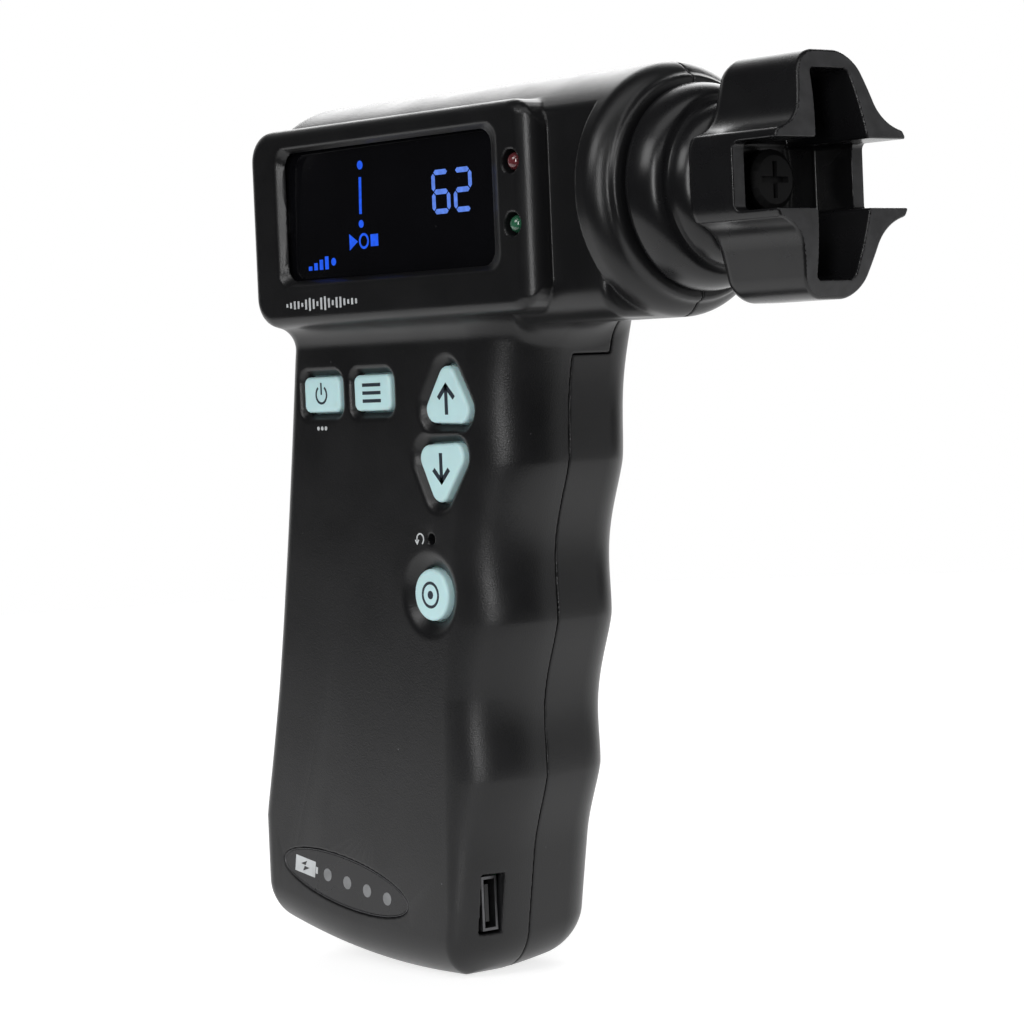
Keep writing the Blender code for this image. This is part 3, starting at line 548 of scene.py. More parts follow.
def housing_distance(field):
    """The hollow housing with all its openings, both halves together."""
    x, y, z = field.x, field.y, field.z
    body = either(barrel_distance(field), core_distance(field))
    body = either(body, block_distance(field), BLOCK_FILLET)
    body = either(body, grip_distance(field), GRIP_FILLET)

    cavity = both(body + WALL, x - NOSE_SOLID_X)
    outside = body
    for name, outline in key_outlines().items():
        pocket = pocket_distance(field, outline, POCKET_MARGIN[name])
        outside = without(outside, both(pocket, y - FRONT_WALL_Y), EDGES["pocket"])
    outside = without(outside, both(window_distance(field), y - FRONT_WALL_Y), EDGES["window"])
    for led_z in LED_Z.values():
        hole = rod_distance(field, (LED_X, led_z), LED_HOLE_R, LED_HOLE_Y)
        outside = without(outside, hole, EDGES["lamp"])
    reset = rod_distance(field, RESET_POS, RESET_R, RESET_Y)
    outside = without(outside, reset, EDGES["reset"])
    charge = outline_distance(x, z, charge_outline())
    outside = without(outside, both(charge, y - FRONT_WALL_Y), EDGES["charge"])
    outside = without(outside, box_distance(field, USB_X, USB_Y, USB_Z), EDGES["inlet"])
    shell = without(outside, cavity)
    for outline in key_outlines().values():
        room = outline_distance(x, z, outline) - KEY_FLANGE - KEY_CLEARANCE
        shell = without(shell, both(room, slab(y, KEY_ROOM_Y)))

    for pos in SCREWS:
        post = both(rod_distance(field, pos, POST_R, POST_Y), body + WALL / 2)
        shell = either(shell, post)
    for pos in SCREWS:
        shell = without(shell, rod_distance(field, pos, SCREW_HOLE_R, SCREW_HOLE_Y))
        recess = rod_distance(field, pos, SCREW_RECESS_R, SCREW_RECESS_Y)
        shell = without(shell, recess, EDGES["screw"])
    bore = both(np.hypot(y, z - BARREL_Z) - BORE_R, NOSE_SOLID_X - BORE_OVERLAP - x)
    return without(shell, bore, EDGES["bore"])


def half_distance(field, shell, side):
    """The front or rear half of the housing, with the seam's gap and the front's tab."""
    grow = -SEAM_HALF if side == "front" else SEAM_HALF
    ranges = [(low - grow, high + grow) for low, high in (TAB_X, TAB_Y, TAB_Z)]
    front_side = either(field.y - grow, box_distance(field, *ranges))
    if side == "front":
        return both(shell, front_side, EDGES["seam"])
    return without(shell, front_side, EDGES["seam"])


# ---- winder head


def head_distance(field):
    """Two lobes with flared wings, a crowned mouth, a cross-shaped cavity and a side notch."""
    x, y, z = field.x, np.abs(field.y), np.abs(field.z - BARREL_Z)
    root_y, root_z = LOBE_ROOT
    lean_y, lean_z = root_y - LOBE_HALF_Y, LOBE_SHOULDER_Z - root_z
    side = ((y - root_y) * lean_z + (z - root_z) * lean_y) / math.hypot(lean_y, lean_z)
    lobe = both(side, z - LOBE_HALF_Z, LOBE_ROUND)
    # The flare's ellipse touches the lobe's side at the root, where both have the same slope.
    turn = math.atan2(lean_y * FLARE_RADII[1], lean_z * FLARE_RADII[0])
    flare = ellipse_distance(y - root_y - FLARE_RADII[0] * math.cos(turn),
                             z - root_z - FLARE_RADII[1] * math.sin(turn), FLARE_RADII)
    hub = both(both(np.hypot(y, z) - HUB_R, -flare, HEAD_EDGE), z - root_z)
    hub = both(hub, y - HUB_FLAT_Y, HEAD_EDGE)
    outline = either(lobe, hub)
    mouth = np.hypot(x - HEAD_MOUTH_X + MOUTH_R, z) - MOUTH_R
    head = both(both(outline, HEAD_BACK_X - x, HEAD_BACK_ROUND), mouth, RIM_EDGE)

    rise = SLOT_HALF_Z - NOTCH_HALF_Z
    widen = SLOT_HALF_Y[1] - SLOT_HALF_Y[0]
    slot_side = ((y - SLOT_HALF_Y[0]) * rise + (z - SLOT_HALF_Z) * widen) / math.hypot(rise, widen)
    slot = both(slot_side, z - SLOT_HALF_Z, SLOT_ROUND)
    slot = both(slot, CAVITY_X - x, CAVITY_FLOOR_ROUND)
    cross = both(y - CAVITY_HALF_Y, z - NOTCH_HALF_Z, CROSS_ROUND)
    cross = both(cross, CAVITY_X - x, CAVITY_FLOOR_ROUND)
    notch = both(z - NOTCH_HALF_Z + 0 * y, NOTCH_X - x, NOTCH_ROUND)
    hollow = either(either(slot, cross, CAVITY_FLOOR_ROUND), notch)
    bore = both(np.hypot(y, z) - COLLAR_BORE_R, x - CAVITY_X - HEAD_BORE_REACH)
    return without(without(head, hollow, HEAD_EDGE), bore)


# ---- meshes


def link(name, mesh, *materials):
    made = bpy.data.objects.new(name, mesh)
    bpy.context.scene.collection.objects.link(made)
    for look in materials:
        mesh.materials.append(look)
    return made


def to_frame(points):
    """Named millimetres to the frame's metres."""
    return (points - np.array((ORIGIN_X, 0.0, 0.0))) * MM


def quads_to_mesh(name, points, quads):
    mesh = bpy.data.meshes.new(name)
    mesh.vertices.add(len(points))
    mesh.vertices.foreach_set("co", points.astype(np.float32).ravel())
    mesh.loops.add(quads.size)
    mesh.loops.foreach_set("vertex_index", quads.astype(np.int32).ravel())
    mesh.polygons.add(len(quads))
    mesh.polygons.foreach_set("loop_start", np.arange(len(quads), dtype=np.int32) * 4)
    mesh.update(calc_edges=True)
    return mesh


def read_rows(items, attribute):
    """An attribute of three numbers, a row for each item."""
    values = np.empty(len(items) * 3, dtype=np.float32)
    items.foreach_get(attribute, values)
    return values.reshape(-1, 3)


def set_field_normals(mesh, field, values):
    """Corner normals from the field, taken a little way into each face so that edges stay crisp."""
    coords = read_rows(mesh.vertices, "co").astype(np.float64)
    corner_of = np.empty(len(mesh.loops), dtype=np.int32)
    mesh.loops.foreach_get("vertex_index", corner_of)
    corners = coords[corner_of].reshape(-1, 3, 3)
    middle = corners.mean(axis=1, keepdims=True)
    inward = middle - corners
    length = np.linalg.norm(inward, axis=2, keepdims=True)
    reach = np.minimum(length, field.step * NORMAL_REACH)
    inside = (corners + inward / np.maximum(length, 1e-9) * reach).reshape(-1, 3)
    at_vertex = field.normals(values, coords)[corner_of]
    at_corner = field.normals(values, inside)
    crisp = (at_vertex * at_corner).sum(axis=1, keepdims=True) < math.cos(CRISP_ANGLE)
    chosen = np.where(crisp, at_corner, at_vertex)
    mesh.shade_smooth()
    mesh.normals_split_custom_set(chosen.tolist())


def piece_from_field(name, field, values, faces, *materials):
    """A mesh along the field's zero, thinned to about that many triangles."""
    grid = openvdb.FloatGrid(BAND)
    grid.copyFromArray(np.ascontiguousarray(np.clip(values, -BAND, BAND), dtype=np.float32))
    points, quads = grid.convertToQuads(0.0)
    points = field.low + points * field.step
    a, b, c = (points[quads[:, k]] for k in range(3))
    outward = field.normals(values, points)[quads[:, 0]]
    facing = np.einsum("ij,ij->i", np.cross(b - a, c - a), outward)
    if facing.sum() < 0:
        quads = quads[:, ::-1]
    rough = link(name + "_rough", quads_to_mesh(name + "_rough", points, quads))
    thin = rough.modifiers.new("Thin", "DECIMATE")
    thin.ratio = min(1.0, faces / (2 * len(quads)))
    thin.use_collapse_triangulate = True
    graph = bpy.context.evaluated_depsgraph_get()
    mesh = bpy.data.meshes.new_from_object(rough.evaluated_get(graph))
    bpy.data.objects.remove(rough)
    triangles = bmesh.new()
    triangles.from_mesh(mesh)
    bmesh.ops.triangulate(triangles, faces=triangles.faces)
    triangles.to_mesh(mesh)
    triangles.free()
    set_field_normals(mesh, field, values)
    coords = to_frame(read_rows(mesh.vertices, "co"))
    mesh.vertices.foreach_set("co", coords.astype(np.float32).ravel())
    mesh.name = name
    mesh.update()
    return link(name, mesh, *materials)


def finish_mesh(name, build, look, sharp=32):
    bmesh.ops.recalc_face_normals(build, faces=build.faces)
    bmesh.ops.translate(build, vec=(-ORIGIN_X, 0, 0), verts=build.verts)
    bmesh.ops.scale(build, vec=(MM, MM, MM), verts=build.verts)
    mesh = bpy.data.meshes.new(name)
    build.to_mesh(mesh)
    build.free()
    mesh.shade_smooth()
    mesh.set_sharp_from_angle(angle=math.radians(sharp))
    return link(name, mesh, look)


def add_loft(build, rings, looped=False):
    """A solid through rings of equal point count, with flat ends or looped back to its start."""
    made = [[build.verts.new(point) for point in ring] for ring in rings]
    for lower, upper in zip(made, made[1:] + (made[:1] if looped else [])):
        for i in range(len(lower)):
            j = (i + 1) % len(lower)
            build.faces.new((lower[i], lower[j], upper[j], upper[i]))
    if not looped:
        build.faces.new(made[0])
        build.faces.new(made[-1])


def rings_at(outline_at, places):
    """Rings for a loft, from (y, inset) places and the function for the outline at an inset."""
    return [[(x, y, z) for x, z in outline_at(inset)] for y, inset in places]


def turned(name, axis, centre, profile, look, steps=96):
    """A solid turned from an (along, radius) profile: from axis to axis, or a closed loop."""
    build = bmesh.new()
    closed = profile[0][1] > 0
    rings = []
    for along, radius in profile:
        outline = circle(centre, radius, steps) if radius > 0 else [centre]
        points = [(along, a, b) if axis == "X" else (a, along, b) for a, b in outline]
        rings.append([build.verts.new(p) for p in points])
    pairs = list(zip(rings, rings[1:])) + ([(rings[-1], rings[0])] if closed else [])
    for lower, upper in pairs:
        for i in range(steps):
            j = (i + 1) % steps
            corners = [lower[i % len(lower)], lower[j % len(lower)],
                       upper[j % len(upper)], upper[i % len(upper)]]
            build.faces.new(list(dict.fromkeys(corners)))
    return finish_mesh(name, build, look)


# ---- materials


class Look:
    """A Principled material with object-space noise for its colour, roughness and grain."""

    def __init__(self, name, colour, roughness, sockets=()):
        self.made = bpy.data.materials.new(name)
        self.made.use_nodes = True
        self.tree = self.made.node_tree
        self.join = self.tree.links.new
        self.shader = self.tree.nodes["Principled BSDF"]
        self.colour = (*colour, 1)
        self.shader.inputs["Base Color"].default_value = self.colour
        self.shader.inputs["Roughness"].default_value = roughness
        self.roughness = roughness
        for socket, value in dict(sockets).items():
            self.shader.inputs[socket].default_value = value
        self.coords = self.tree.nodes.new("ShaderNodeTexCoord").outputs["Object"]

    def node(self, kind, **values):
        made = self.tree.nodes.new(kind)
        for socket, value in values.items():
            made.inputs[socket].default_value = value
        return made

    def noise(self, size, detail=2.0):
        """Noise whose features are about size millimetres."""
        made = self.node("ShaderNodeTexNoise", Scale=1 / (size * MM), Detail=detail)
        self.join(self.coords, made.inputs["Vector"])
        return made.outputs["Fac"]

    def spread(self, source, low, high, start=0.3, stop=0.7):
        """The source's values from start to stop, mapped to those from low to high."""
        limits = {"From Min": start, "From Max": stop, "To Min": low, "To Max": high}
        made = self.node("ShaderNodeMapRange", **limits)
        self.join(source, made.inputs["Value"])
        return made.outputs["Result"]

    def mix(self, factor, first, second):
        made = self.tree.nodes.new("ShaderNodeMix")
        made.data_type = "RGBA"
        self.join(factor, made.inputs["Factor"])
        for socket, value in (("A", first), ("B", second)):
            target = next(s for s in made.inputs if s.name == socket and s.type == "RGBA")
            if isinstance(value, tuple):
                target.default_value = value
            else:
                self.join(value, target)
        return next(s for s in made.outputs if s.type == "RGBA")

    def mottled(self, size, amount):
        """Colour that drifts lighter and darker by a share of itself."""
        dark = tuple(c * (1 - amount) for c in self.colour[:3]) + (1,)
        light = tuple(min(c * (1 + amount), 1) for c in self.colour[:3]) + (1,)
        result = self.mix(self.spread(self.noise(size), 0, 1), dark, light)
        self.join(result, self.shader.inputs["Base Color"])
        self.base = result
        return self

    def dusted(self, cell, speck, colour):
        """A few pale specks of dust, one at most to a cell."""
        cells = self.node("ShaderNodeTexVoronoi", Scale=1 / (cell * MM))
        self.join(self.coords, cells.inputs["Vector"])
        near = self.spread(cells.outputs["Distance"], 1, 0, speck * 0.5, speck)
        result = self.mix(near, self.base, (*colour, 1))
        self.join(result, self.shader.inputs["Base Color"])
        return self

    def grained(self, size, depth, wear=0.05, wear_size=9.0):
        """A fine moulded grain, and gloss that varies by wear over the surface."""
        bump = self.node("ShaderNodeBump", Strength=1.0, Distance=depth * MM)
        self.join(self.noise(size, 3.0), bump.inputs["Height"])
        self.join(bump.outputs["Normal"], self.shader.inputs["Normal"])
        noise = self.noise(wear_size, 4.0)
        gloss = self.spread(noise, self.roughness - wear, self.roughness + wear)
        self.join(gloss, self.shader.inputs["Roughness"])
        return self


PLASTIC = {"Specular IOR Level": 0.38}
METAL = {"Metallic": 1.0}
LAMP_GLASS = {"Coat Weight": 0.6, "Transmission Weight": 0.25}
SOFT_KEY = {"Subsurface Weight": 0.08, "Subsurface Scale": 0.0006}
# Each look's name, colour, roughness, mottling, grain and, for some, further sockets.
LOOKS = {
    "shell": ("shell_satin_black", (0.007, 0.007, 0.0076), 0.32, (12, 0.12),
              (0.22, 0.024, 0.04), PLASTIC),
    "head": ("winder_gloss_black", (0.0075, 0.0075, 0.0082), 0.27, (9, 0.12),
             (0.35, 0.005, 0.04), PLASTIC),
    "rim": ("winder_rim_grain", (0.045, 0.045, 0.047), 0.5, (2, 0.2), (0.2, 0.022, 0.06), PLASTIC),
    "lens": ("display_glass", (0.003, 0.003, 0.0038), 0.08, (8, 0.1), (3.0, 0.002, 0.02),
             {"Specular IOR Level": 0.35}),
    "key": ("key_pale_cyan", (0.52, 0.75, 0.77), 0.42, (3, 0.035), (0.25, 0.006, 0.05), SOFT_KEY),
    "print_dark": ("key_print", (0.012, 0.02, 0.032), 0.5, (2, 0.15), (0.2, 0.004)),
    "print_white": ("shell_print", (0.5, 0.52, 0.53), 0.5, (2, 0.1), (0.2, 0.004)),
    "window": ("charge_window_smoke", (0.009, 0.009, 0.01), 0.28, (6, 0.12), (0.8, 0.003, 0.03),
               PLASTIC),
    "window_dot": ("charge_window_dot", (0.17, 0.175, 0.18), 0.35, (1.5, 0.12), (0.3, 0.003)),
    # The charge window's rim: a real ring, whose lighter grey is partly a painted highlight along
    # the window's edge.
    "window_edge": ("charge_rim_painted_highlight", (0.045, 0.045, 0.048), 0.3, (3, 0.15), (0.3, 0.003)),
    "led_red": ("led_red_glass", (0.14, 0.03, 0.035), 0.12, (0.8, 0.25), (0.6, 0.003, 0.03),
                LAMP_GLASS),
    "led_green": ("led_green_glass", (0.03, 0.13, 0.07), 0.12, (0.8, 0.25), (0.6, 0.003, 0.03),
                  LAMP_GLASS),
    "board": ("circuit_board", (0.015, 0.11, 0.045), 0.45, (1.5, 0.2), (0.4, 0.006)),
    "switch": ("switch_black", (0.02, 0.02, 0.021), 0.5, (1.5, 0.2), (0.2, 0.008)),
    "module": ("display_module", (0.02, 0.02, 0.025), 0.3, (3, 0.15), (0.5, 0.004)),
    "steel": ("nickel_steel", (0.5, 0.5, 0.51), 0.3, (2, 0.08), (0.12, 0.004), METAL),
    # Near-black and not metallic: the winder screw is painted as the shade deep in the head's
    # cavity.
    "black_steel": ("screw_black_painted_shade", (0.006, 0.006, 0.0065), 0.6, (2, 0.1), (0.15, 0.004),
                    PLASTIC),
    "dark_steel": ("blackened_steel", (0.05, 0.05, 0.052), 0.42, (2, 0.1), (0.15, 0.004), METAL),
    "port": ("port_tin", (0.12, 0.12, 0.125), 0.42, (1.2, 0.12), (0.2, 0.005), METAL),
    "brass": ("brass", (0.68, 0.47, 0.19), 0.32, (2, 0.1), (0.12, 0.004), METAL),
    "nylon": ("nylon", (0.7, 0.7, 0.64), 0.5, (2, 0.06), (0.3, 0.006), {"Subsurface Weight": 0.1}),
    "cell": ("battery_wrap", (0.58, 0.6, 0.63), 0.38, (6, 0.06), (1.2, 0.01)),
}
# The dust on some of them: cell, speck and colour.
DUST = {
    "shell": (5.0, 0.022, (0.16, 0.16, 0.17)),
    "head": (4.0, 0.026, (0.16, 0.16, 0.17)),
    "lens": (3.2, 0.03, (0.05, 0.05, 0.055)),
}


def make_looks():
    made = {}
    for key, (name, colour, roughness, mottling, grain, *sockets) in LOOKS.items():
        look = Look(name, colour, roughness, *sockets).mottled(*mottling)
        if key in DUST:
            look.dusted(*DUST[key])
        made[key] = look.grained(*grain).made
    made["blue"] = glow("readout_blue", (0.01, 0.11, 0.95))
    made["pale_blue"] = glow("readout_pale_blue", (0.12, 0.26, 0.88))
    return made


def glow(name, colour):
    """A lit segment, a little uneven as behind glass."""
    look = Look(name, (0.01, 0.012, 0.02), 0.3)
    bright = (*colour, 1)
    dim = tuple(c * 0.72 for c in colour) + (1,)
    result = look.mix(look.spread(look.noise(0.7), 0, 1), dim, bright)
    look.join(result, look.shader.inputs["Emission Color"])
    look.shader.inputs["Emission Strength"].default_value = 1.0
    return look.made


CARRIED_NODES = {
    "steel": ("gearbox_housing", "lay_pin", "motor_can",
              *(f"shell_screw_{i}" for i in range(1, 6))),
    "dark_steel": ("output_shaft",),
    # The winder screw is painted near-black, as the shade in the head's cavity.
    "black_steel": ("winder_screw",),
    "port": ("usb_socket",),
    "brass": ("vibration_sensor", "motor_pinion", "nose_bush"),
    "nylon": ("lay_gear", "output_gear", "motor_end_cap",
              *(f"charge_led_{i}" for i in range(1, 5))),
    "switch": ("usb_tongue", "switch_reset",
               *(f"switch_{key}" for key in ("power", "mode", "up", "down", "mark"))),
    "board": ("main_board", "charge_board"),
    "module": ("display_module",),
    "cell": ("battery_cell",),
}


def dress_carried_nodes(looks):
    for look, names in CARRIED_NODES.items():
        for name in names:
            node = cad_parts[name]
            node.data.materials.clear()
            node.data.materials.append(looks[look])


# ---- pieces


def make_housing(looks):
    field = Field((-59, -17.6, -1.2), (32, 18.2, 127.4), SHELL_STEP)
    shell = housing_distance(field)
    for side in ("front", "rear"):
        values = half_distance(field, shell, side)
        piece = piece_from_field(f"housing_{side}", field, values, SHELL_FACES[side],
                                 looks["shell"])
        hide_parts(f"{side}_shell")
        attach(piece, "housing")


def make_head(looks):
    field = Field((39, -13.3, 92), (58, 13.3, 126), HEAD_STEP)
    head = piece_from_field("winder_mouth", field, head_distance(field), HEAD_FACES,
                            looks["head"], looks["rim"])
    mesh = head.data
    facing = read_rows(mesh.polygons, "normal")[:, 0] > RIM_FACING
    rim_start = (NOTCH_X - RIM_DEPTH - ORIGIN_X) * MM
    forward = read_rows(mesh.polygons, "center")[:, 0] > rim_start
    mesh.polygons.foreach_set("material_index", (facing & forward).astype(np.int32))
    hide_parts("winder_head")
    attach(head, "winder")


def make_collar(looks):
    """The bell between the barrel and the head: a crowned ring, a groove and a tapered neck."""
    start, stop = COLLAR_X
    neck = start + COLLAR_NECK_X
    turns = quarter_turn(COLLAR_STEPS)
    profile = [(start, COLLAR_BORE_R)] + [(start + x, radius) for x, radius in COLLAR_LIP]
    profile += [(start + COLLAR_RING_X + COLLAR_RING_LENGTH * math.sin(a),
                 COLLAR_RING_R + COLLAR_RING_HEIGHT * math.cos(a) ** COLLAR_RING_POWER)
                for a in turns]
    profile.append((start + COLLAR_GROOVE[0], COLLAR_GROOVE[1]))
    profile += [(neck + (stop - neck) * math.sin(a),
                 COLLAR_NECK_R + COLLAR_NECK_HEIGHT * math.cos(a)) for a in turns]
    profile.append((stop, COLLAR_BORE_R))
    collar = turned("bell", "X", (0, BARREL_Z), profile, looks["head"], steps=144)
    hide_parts("bell_collar")
    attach(collar, "winder")


def make_key(name, outline, looks):
    """A key cap with round top edges, on its flange."""
    rings = [(KEY_TOP_Y + KEY_EDGE * (1 - math.sin(a)), KEY_EDGE * (1 - math.cos(a)))
             for a in reversed(quarter_turn(6))]
    rings += [(KEY_FLANGE_Y[0], 0.0)] + [(y, -KEY_FLANGE) for y in KEY_FLANGE_Y]
    build = bmesh.new()
    add_loft(build, rings_at(lambda inset: moved_in(outline, inset), rings))
    key = finish_mesh("cap_" + name, build, looks["key"], 50)
    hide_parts("key_" + name)
    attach(key, "button_" + name)


def stroke(start, stop, width):
    """A straight bar with pointed ends, as an outline in X and Z."""
    start, stop = Vector(start), Vector(stop)
    along = (stop - start).normalized() * (width / 2)
    across = Vector((-along.y, along.x))
    points = [start, start + along + across, stop - along + across,
              stop, stop - along - across, start + along - across]
    return [tuple(p) for p in points]


def bar(start, stop, width):
    """A straight bar with square ends."""
    start, stop = Vector(start), Vector(stop)
    across = (stop - start).normalized() * (width / 2)
    across = Vector((-across.y, across.x))
    return [tuple(p) for p in (start + across, stop + across, stop - across, start - across)]


def ring_part(centre, radius, width, start, stop, steps=20):
    """A part of a flat ring, angles in degrees."""
    outer = arc(centre, radius + width / 2, start, stop, steps)
    inner = arc(centre, radius - width / 2, start, stop, steps)
    return outer + inner[::-1]


def full_ring(centre, radius, width):
    """A flat ring in two halves that do not quite meet."""
    return [ring_part(centre, radius, width, start, start + 179.6) for start in (0, 180)]


def make_print(name, outlines, face, reach, look, body):
    """Thin solids on a face: reach says where they start and stop, counted from it."""
    y_range = [face + depth for depth in reach]
    build = bmesh.new()
    for outline in outlines:
        add_loft(build, [[(x, y, z) for x, z in outline] for y in y_range])
    piece = finish_mesh(name, build, look, 20)
    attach(piece, body)


def arrow(centre, size, up):
    """A chevron on a stem."""
    x, z = centre
    turn = 1 if up else -1
    width, overlap = 0.7, 0.25
    wing = size * 0.85
    low, high = z + turn * (size - wing), z + turn * (size + overlap)
    return [bar((x - wing, low), (x + overlap, high), width),
            bar((x + wing, low), (x - overlap, high), width),
            bar((x, z - turn * size), (x, z + turn * (size - width / 2)), width)]


def make_key_marks(looks):
    """Plain symbols on the keys: power, menu, up, down and a target."""
    power = RECT_KEYS["power"]
    menu = RECT_KEYS["mode"]
    line = 0.34
    up, down = [tuple(np.mean(corners, axis=0)) for corners in TRIANGLE_KEYS.values()]
    marks = {
        "power": [ring_part(power, 1.25, line, 125, 415),
                  bar(power, (power[0], power[1] + 1.75), line)],
        "mode": [bar((menu[0] - 2.1, menu[1] + dz), (menu[0] + 2.1, menu[1] + dz), 0.5)
                 for dz in (-1.15, 0, 1.15)],
        "up": arrow(up, 2.0, True),
        "down": arrow(down, 2.0, False),
        "mark": full_ring(ROUND_KEY[1], 1.7, 0.42) + [circle(ROUND_KEY[1], 0.6, 24)],
    }
    for name, outlines in marks.items():
        make_print("symbol_" + name, outlines, KEY_TOP_Y, KEY_PRINT,
                   looks["print_dark"], "button_" + name)


def make_shell_marks(looks):
    """Dots under the power key, a turning arrow by the reset hole, a wave of bars on the block."""
    x, z = RECT_KEYS["power"]
    marks = [circle((x + 0.9 * k, z - 4.9), 0.3, 20) for k in (-1, 0, 1)]
    x, z = RESET_POS[0] - 2.4, RESET_POS[1]
    marks.append(ring_part((x, z), 0.75, 0.24, -60, 200))
    marks.append([(x - 1.25, z - 0.1), (x - 0.2, z - 0.1), (x - 0.72, z - 0.85)])
    make_print("shell_marks", marks, GRIP_FRONT_Y, SHELL_PRINT,
               looks["print_white"], "housing")
    bars = []
    for i in range(WAVE_BARS):
        swell = math.sin(math.pi * (i + 1) / (WAVE_BARS + 1))
        height = 0.5 + 1.5 * abs(math.sin(0.8 * i)) * swell
        bars.append(rectangle_at((WAVE_MARK[0] + WAVE_PITCH * i, WAVE_MARK[1]), (0.42, height)))
    make_print("block_mark", bars, BLOCK_Y, SHELL_PRINT,
               looks["print_white"], "housing")


SEGMENTS = {
    "top": ((0, 1), (1, 1)), "middle": ((0, 0.5), (1, 0.5)), "bottom": ((0, 0), (1, 0)),
    "upper_left": ((0, 0.5), (0, 1)), "upper_right": ((1, 0.5), (1, 1)),
    "lower_left": ((0, 0), (0, 0.5)), "lower_right": ((1, 0), (1, 0.5)),
}
SIX = ("top", "upper_left", "middle", "lower_left", "lower_right", "bottom")
TWO = ("top", "upper_right", "middle", "lower_left", "bottom")
SEGMENT_WIDTH = 0.72
SEGMENT_GAP = 0.14
DIGIT_SIZE = (3.2, 5.4)
DIGIT_CORNERS = ((-7.1, 108.2), (-2.4, 108.2))
SIGN_Z = 105.15


def digit(corner, size, names):
    """A seven-segment digit, its lower left corner and its size given."""
    outlines = []
    for name in names:
        (x0, z0), (x1, z1) = SEGMENTS[name]
        start = Vector((corner[0] + size[0] * x0, corner[1] + size[1] * z0))
        stop = Vector((corner[0] + size[0] * x1, corner[1] + size[1] * z1))
        gap = (stop - start).normalized() * SEGMENT_GAP
        outlines.append(stroke(start + gap, stop - gap, SEGMENT_WIDTH))
    return outlines


def make_readout(looks):
    """What the display shows: a needle between two dots, a number and two rows of small signs."""
    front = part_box("display_lens")[0][1] / MM
    number = []
    for corner, names in zip(DIGIT_CORNERS, (SIX, TWO)):
        number += digit(corner, DIGIT_SIZE, names)
    make_print("readout_number", number, front, READOUT_PRINT,
               looks["pale_blue"], "housing")
    needle = [bar((-23.4, 114.2), (-23.6, 109.0), 0.55), circle((-23.3, 115.9), 0.62, 28),
              circle((-23.55, 107.6), 0.55, 28)]
    make_print("readout_needle", needle, front, READOUT_PRINT,
               looks["blue"], "housing")
    signs = [[(-26.4, SIGN_Z - 1.15), (-26.4, SIGN_Z + 1.15), (-24.5, SIGN_Z)]]
    signs += full_ring((-23.1, SIGN_Z), 0.95, 0.34)
    signs.append(rectangle_at((-20.7, SIGN_Z), (1.7, 1.7)))
    for i in range(4):
        left = -36.2 + 1.3 * i
        signs.append(rectangle((left, left + 0.8), (101.6, 102.2 + 0.42 * i)))
    signs.append(circle((-30.3, 102.6), 0.55, 24))
    make_print("readout_signs", signs, front, READOUT_PRINT,
               looks["blue"], "housing")


def make_lens(looks):
    """The display glass, with a fine round along its front edge."""
    low, high = (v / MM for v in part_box("display_lens"))
    outline = rounded(rectangle((low[0] + ORIGIN_X, high[0] + ORIGIN_X), (low[2], high[2])), 1.8)
    rings = [(low[1], 0.25), (low[1] + 0.08, 0.08), (low[1] + 0.25, 0.0), (high[1], 0.0)]
    build = bmesh.new()
    add_loft(build, rings_at(lambda inset: moved_in(outline, inset), rings))
    lens = finish_mesh("display_glass", build, looks["lens"])
    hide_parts("display_lens")
    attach(lens, "housing")


def make_leds(looks):
    """Domed indicator lamps, each with a flange behind the wall."""
    top, back = LAMP_Y
    for colour, z in LED_Z.items():
        profile = [(top + LAMP_R * (1 - math.cos(a)), LAMP_R * math.sin(a))
                   for a in quarter_turn(10)]
        profile += [(-14.0, LAMP_R), (-13.6, LED_R), (-12.9, LED_R), (-12.9, LED_FLANGE_R),
                    (back, LED_FLANGE_R), (back, 0)]
        lamp = turned("lamp_" + colour, "Y", (LED_X, z), profile, looks["led_" + colour], steps=48)
        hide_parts("led_" + colour)
        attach(lamp, "housing")


def make_charge_window(looks):
    """The smoked window at the foot with its rim, battery sign and four dots; the rim's lighter
    grey partly paints the highlight along the window's edge.
    """
    face, back = (v[1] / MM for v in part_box("charge_window"))
    build = bmesh.new()
    rings = [(face + 0.03, 0.5), (face + 0.03, 0.34), (face + 0.1, 0.26), (back, 0.26)]
    add_loft(build, rings_at(charge_outline, rings))
    window = finish_mesh("charge_glass", build, looks["window"])
    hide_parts("charge_window")
    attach(window, "housing")

    build = bmesh.new()
    loops = [(face - 0.03, 0.12), (face - 0.03, 0.18), (face + 0.03, 0.24),
             (back, 0.24), (back, 0.06), (face + 0.05, 0.06)]
    add_loft(build, rings_at(charge_outline, loops), looped=True)
    # The rim's lighter grey partly paints the highlight along the window's edge.
    rim = finish_mesh("charge_rim", build, looks["window_edge"])
    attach(rim, "housing")

    dots = [circle(on_charge(CHARGE_LED_FIRST + CHARGE_LED_PITCH * i), 0.95, 32) for i in range(4)]
    make_print("charge_dots", dots, face, CHARGE_PRINT,
               looks["window_dot"], "housing")
    battery = [charge_box((-12.0, -7.2), (-1.2, 1.2)), charge_box((-7.1, -6.6), (-0.5, 0.5))]
    make_print("charge_battery", battery, face, CHARGE_PRINT,
               looks["print_white"], "housing")
    bolt = [[on_charge(-10.7, 0.15), on_charge(-9.3, 0.85), on_charge(-9.6, 0.1)],
            [on_charge(-8.6, -0.1), on_charge(-10.1, -0.85), on_charge(-9.8, -0.05)]]
    make_print("charge_bolt", bolt, face, BOLT_PRINT, looks["window"], "housing")


def charge_box(u_range, v_range):
    """A rectangle on the charge window's own axes."""
    return [on_charge(u, v) for u, v in rectangle(u_range, v_range)]


# ---- stage


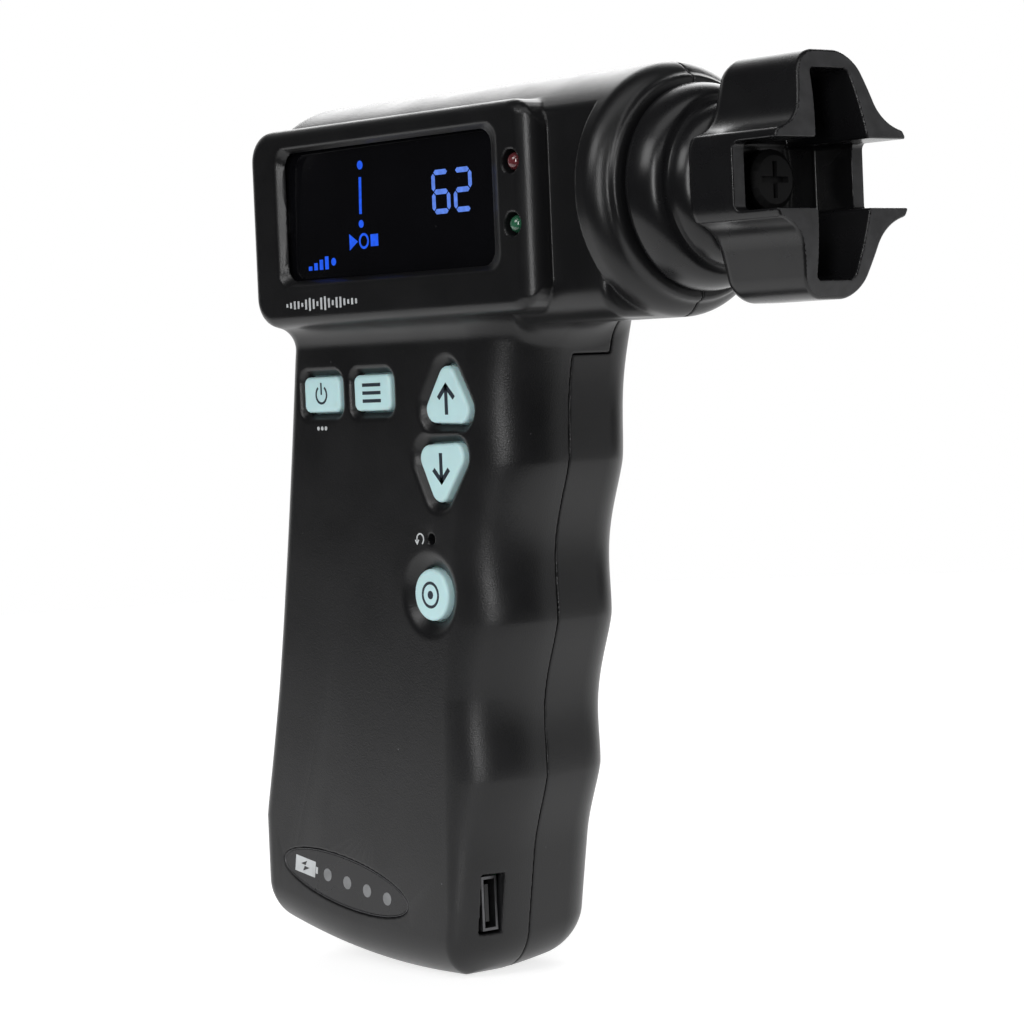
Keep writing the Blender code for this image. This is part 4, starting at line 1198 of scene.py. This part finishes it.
def make_floor():
    """A pale round floor under the object, which reaches farther behind it than in front."""
    back = view_axes()[2]
    centre = (-back.x * FLOOR_SHIFT, -back.y * FLOOR_SHIFT)
    build = bmesh.new()
    rim = circle(centre, FLOOR_RADIUS, 72)
    add_loft(build, [[(x * MM, y * MM, z * MM) for x, y in rim] for z in (0.0, -FLOOR_DEPTH)])
    bmesh.ops.recalc_face_normals(build, faces=build.faces)
    mesh = bpy.data.meshes.new("floor")
    build.to_mesh(mesh)
    build.free()
    look = Look("floor_white", (0.5, 0.5, 0.5), 0.9).mottled(60, 0.01)
    look.shader.inputs["Emission Color"].default_value = (1, 1, 1, 1)
    look.shader.inputs["Emission Strength"].default_value = FLOOR_GLOW
    link("floor", mesh, look.made)


def view_axes():
    """Unit vectors of the camera's right, up and back."""
    azimuth, elevation = math.radians(CAMERA_AZIMUTH), math.radians(CAMERA_ELEVATION)
    back = Vector((math.sin(azimuth) * math.cos(elevation),
                   -math.cos(azimuth) * math.cos(elevation), math.sin(elevation)))
    right = Vector((math.cos(azimuth), math.sin(azimuth), 0))
    return right, back.cross(right), back


def make_world():
    """White behind the object and dim in front of it, so that black plastic shows bright rims."""
    world = bpy.data.worlds.new("studio")
    bpy.context.scene.world = world
    world.use_nodes = True
    tree = world.node_tree
    join = tree.links.new
    background = tree.nodes["Background"]
    coords = tree.nodes.new("ShaderNodeTexCoord").outputs["Generated"]
    dot = tree.nodes.new("ShaderNodeVectorMath")
    dot.operation = "DOT_PRODUCT"
    dot.inputs[1].default_value = -view_axes()[2]
    join(coords, dot.inputs[0])
    ramp = tree.nodes.new("ShaderNodeMapRange")
    ramp.interpolation_type = "SMOOTHSTEP"
    for socket, value in WORLD_RAMP.items():
        ramp.inputs[socket].default_value = value
    join(dot.outputs["Value"], ramp.inputs["Value"])
    seen = tree.nodes.new("ShaderNodeLightPath").outputs["Is Camera Ray"]
    pick = tree.nodes.new("ShaderNodeMath")
    pick.operation = "MAXIMUM"
    join(seen, pick.inputs[0])
    join(ramp.outputs["Result"], pick.inputs[1])
    join(pick.outputs["Value"], background.inputs["Strength"])
    background.inputs["Color"].default_value = (1, 1, 1, 1)


def add_softbox(name, azimuth, elevation, distance, size, power):
    """An area light that looks at the object. Azimuth 0 is at -Y and 90 at +X, in degrees."""
    a, e = math.radians(azimuth), math.radians(elevation)
    away = Vector((math.sin(a) * math.cos(e), -math.cos(a) * math.cos(e), math.sin(e)))
    light = bpy.data.lights.new(name, "AREA")
    light.shape = "RECTANGLE"
    light.size, light.size_y = size
    light.energy = power
    lamp = bpy.data.objects.new(name, light)
    bpy.context.scene.collection.objects.link(lamp)
    target = Vector(LIGHT_TARGET)
    lamp.location = target + away * distance
    lamp.rotation_euler = away.to_track_quat("Z", "Y").to_euler()


def make_camera():
    right, up, back = view_axes()
    roll = math.radians(CAMERA_ROLL)
    side = right * math.cos(roll) - up * math.sin(roll)
    top = right * math.sin(roll) + up * math.cos(roll)
    camera = bpy.data.cameras.new("camera")
    camera.lens = CAMERA_LENS
    camera.sensor_width = 36
    camera.clip_start, camera.clip_end = 0.02, 20
    eye = bpy.data.objects.new("camera", camera)
    bpy.context.scene.collection.objects.link(eye)
    place = Matrix((side, top, back)).transposed().to_4x4()
    place.translation = (Vector(CAMERA_TARGET) + back * CAMERA_DISTANCE) * MM
    eye.matrix_world = place
    bpy.context.scene.camera = eye


def main():
    bpy.context.scene.view_settings.view_transform = "Standard"
    looks = make_looks()
    make_camera()
    make_world()
    for softbox in SOFTBOXES:
        add_softbox(*softbox)
    make_floor()
    dress_carried_nodes(looks)
    make_housing(looks)
    make_head(looks)
    make_collar(looks)
    for name, outline in key_outlines().items():
        make_key(name, outline, looks)
    make_key_marks(looks)
    make_shell_marks(looks)
    make_lens(looks)
    make_readout(looks)
    make_leds(looks)
    make_charge_window(looks)


main()
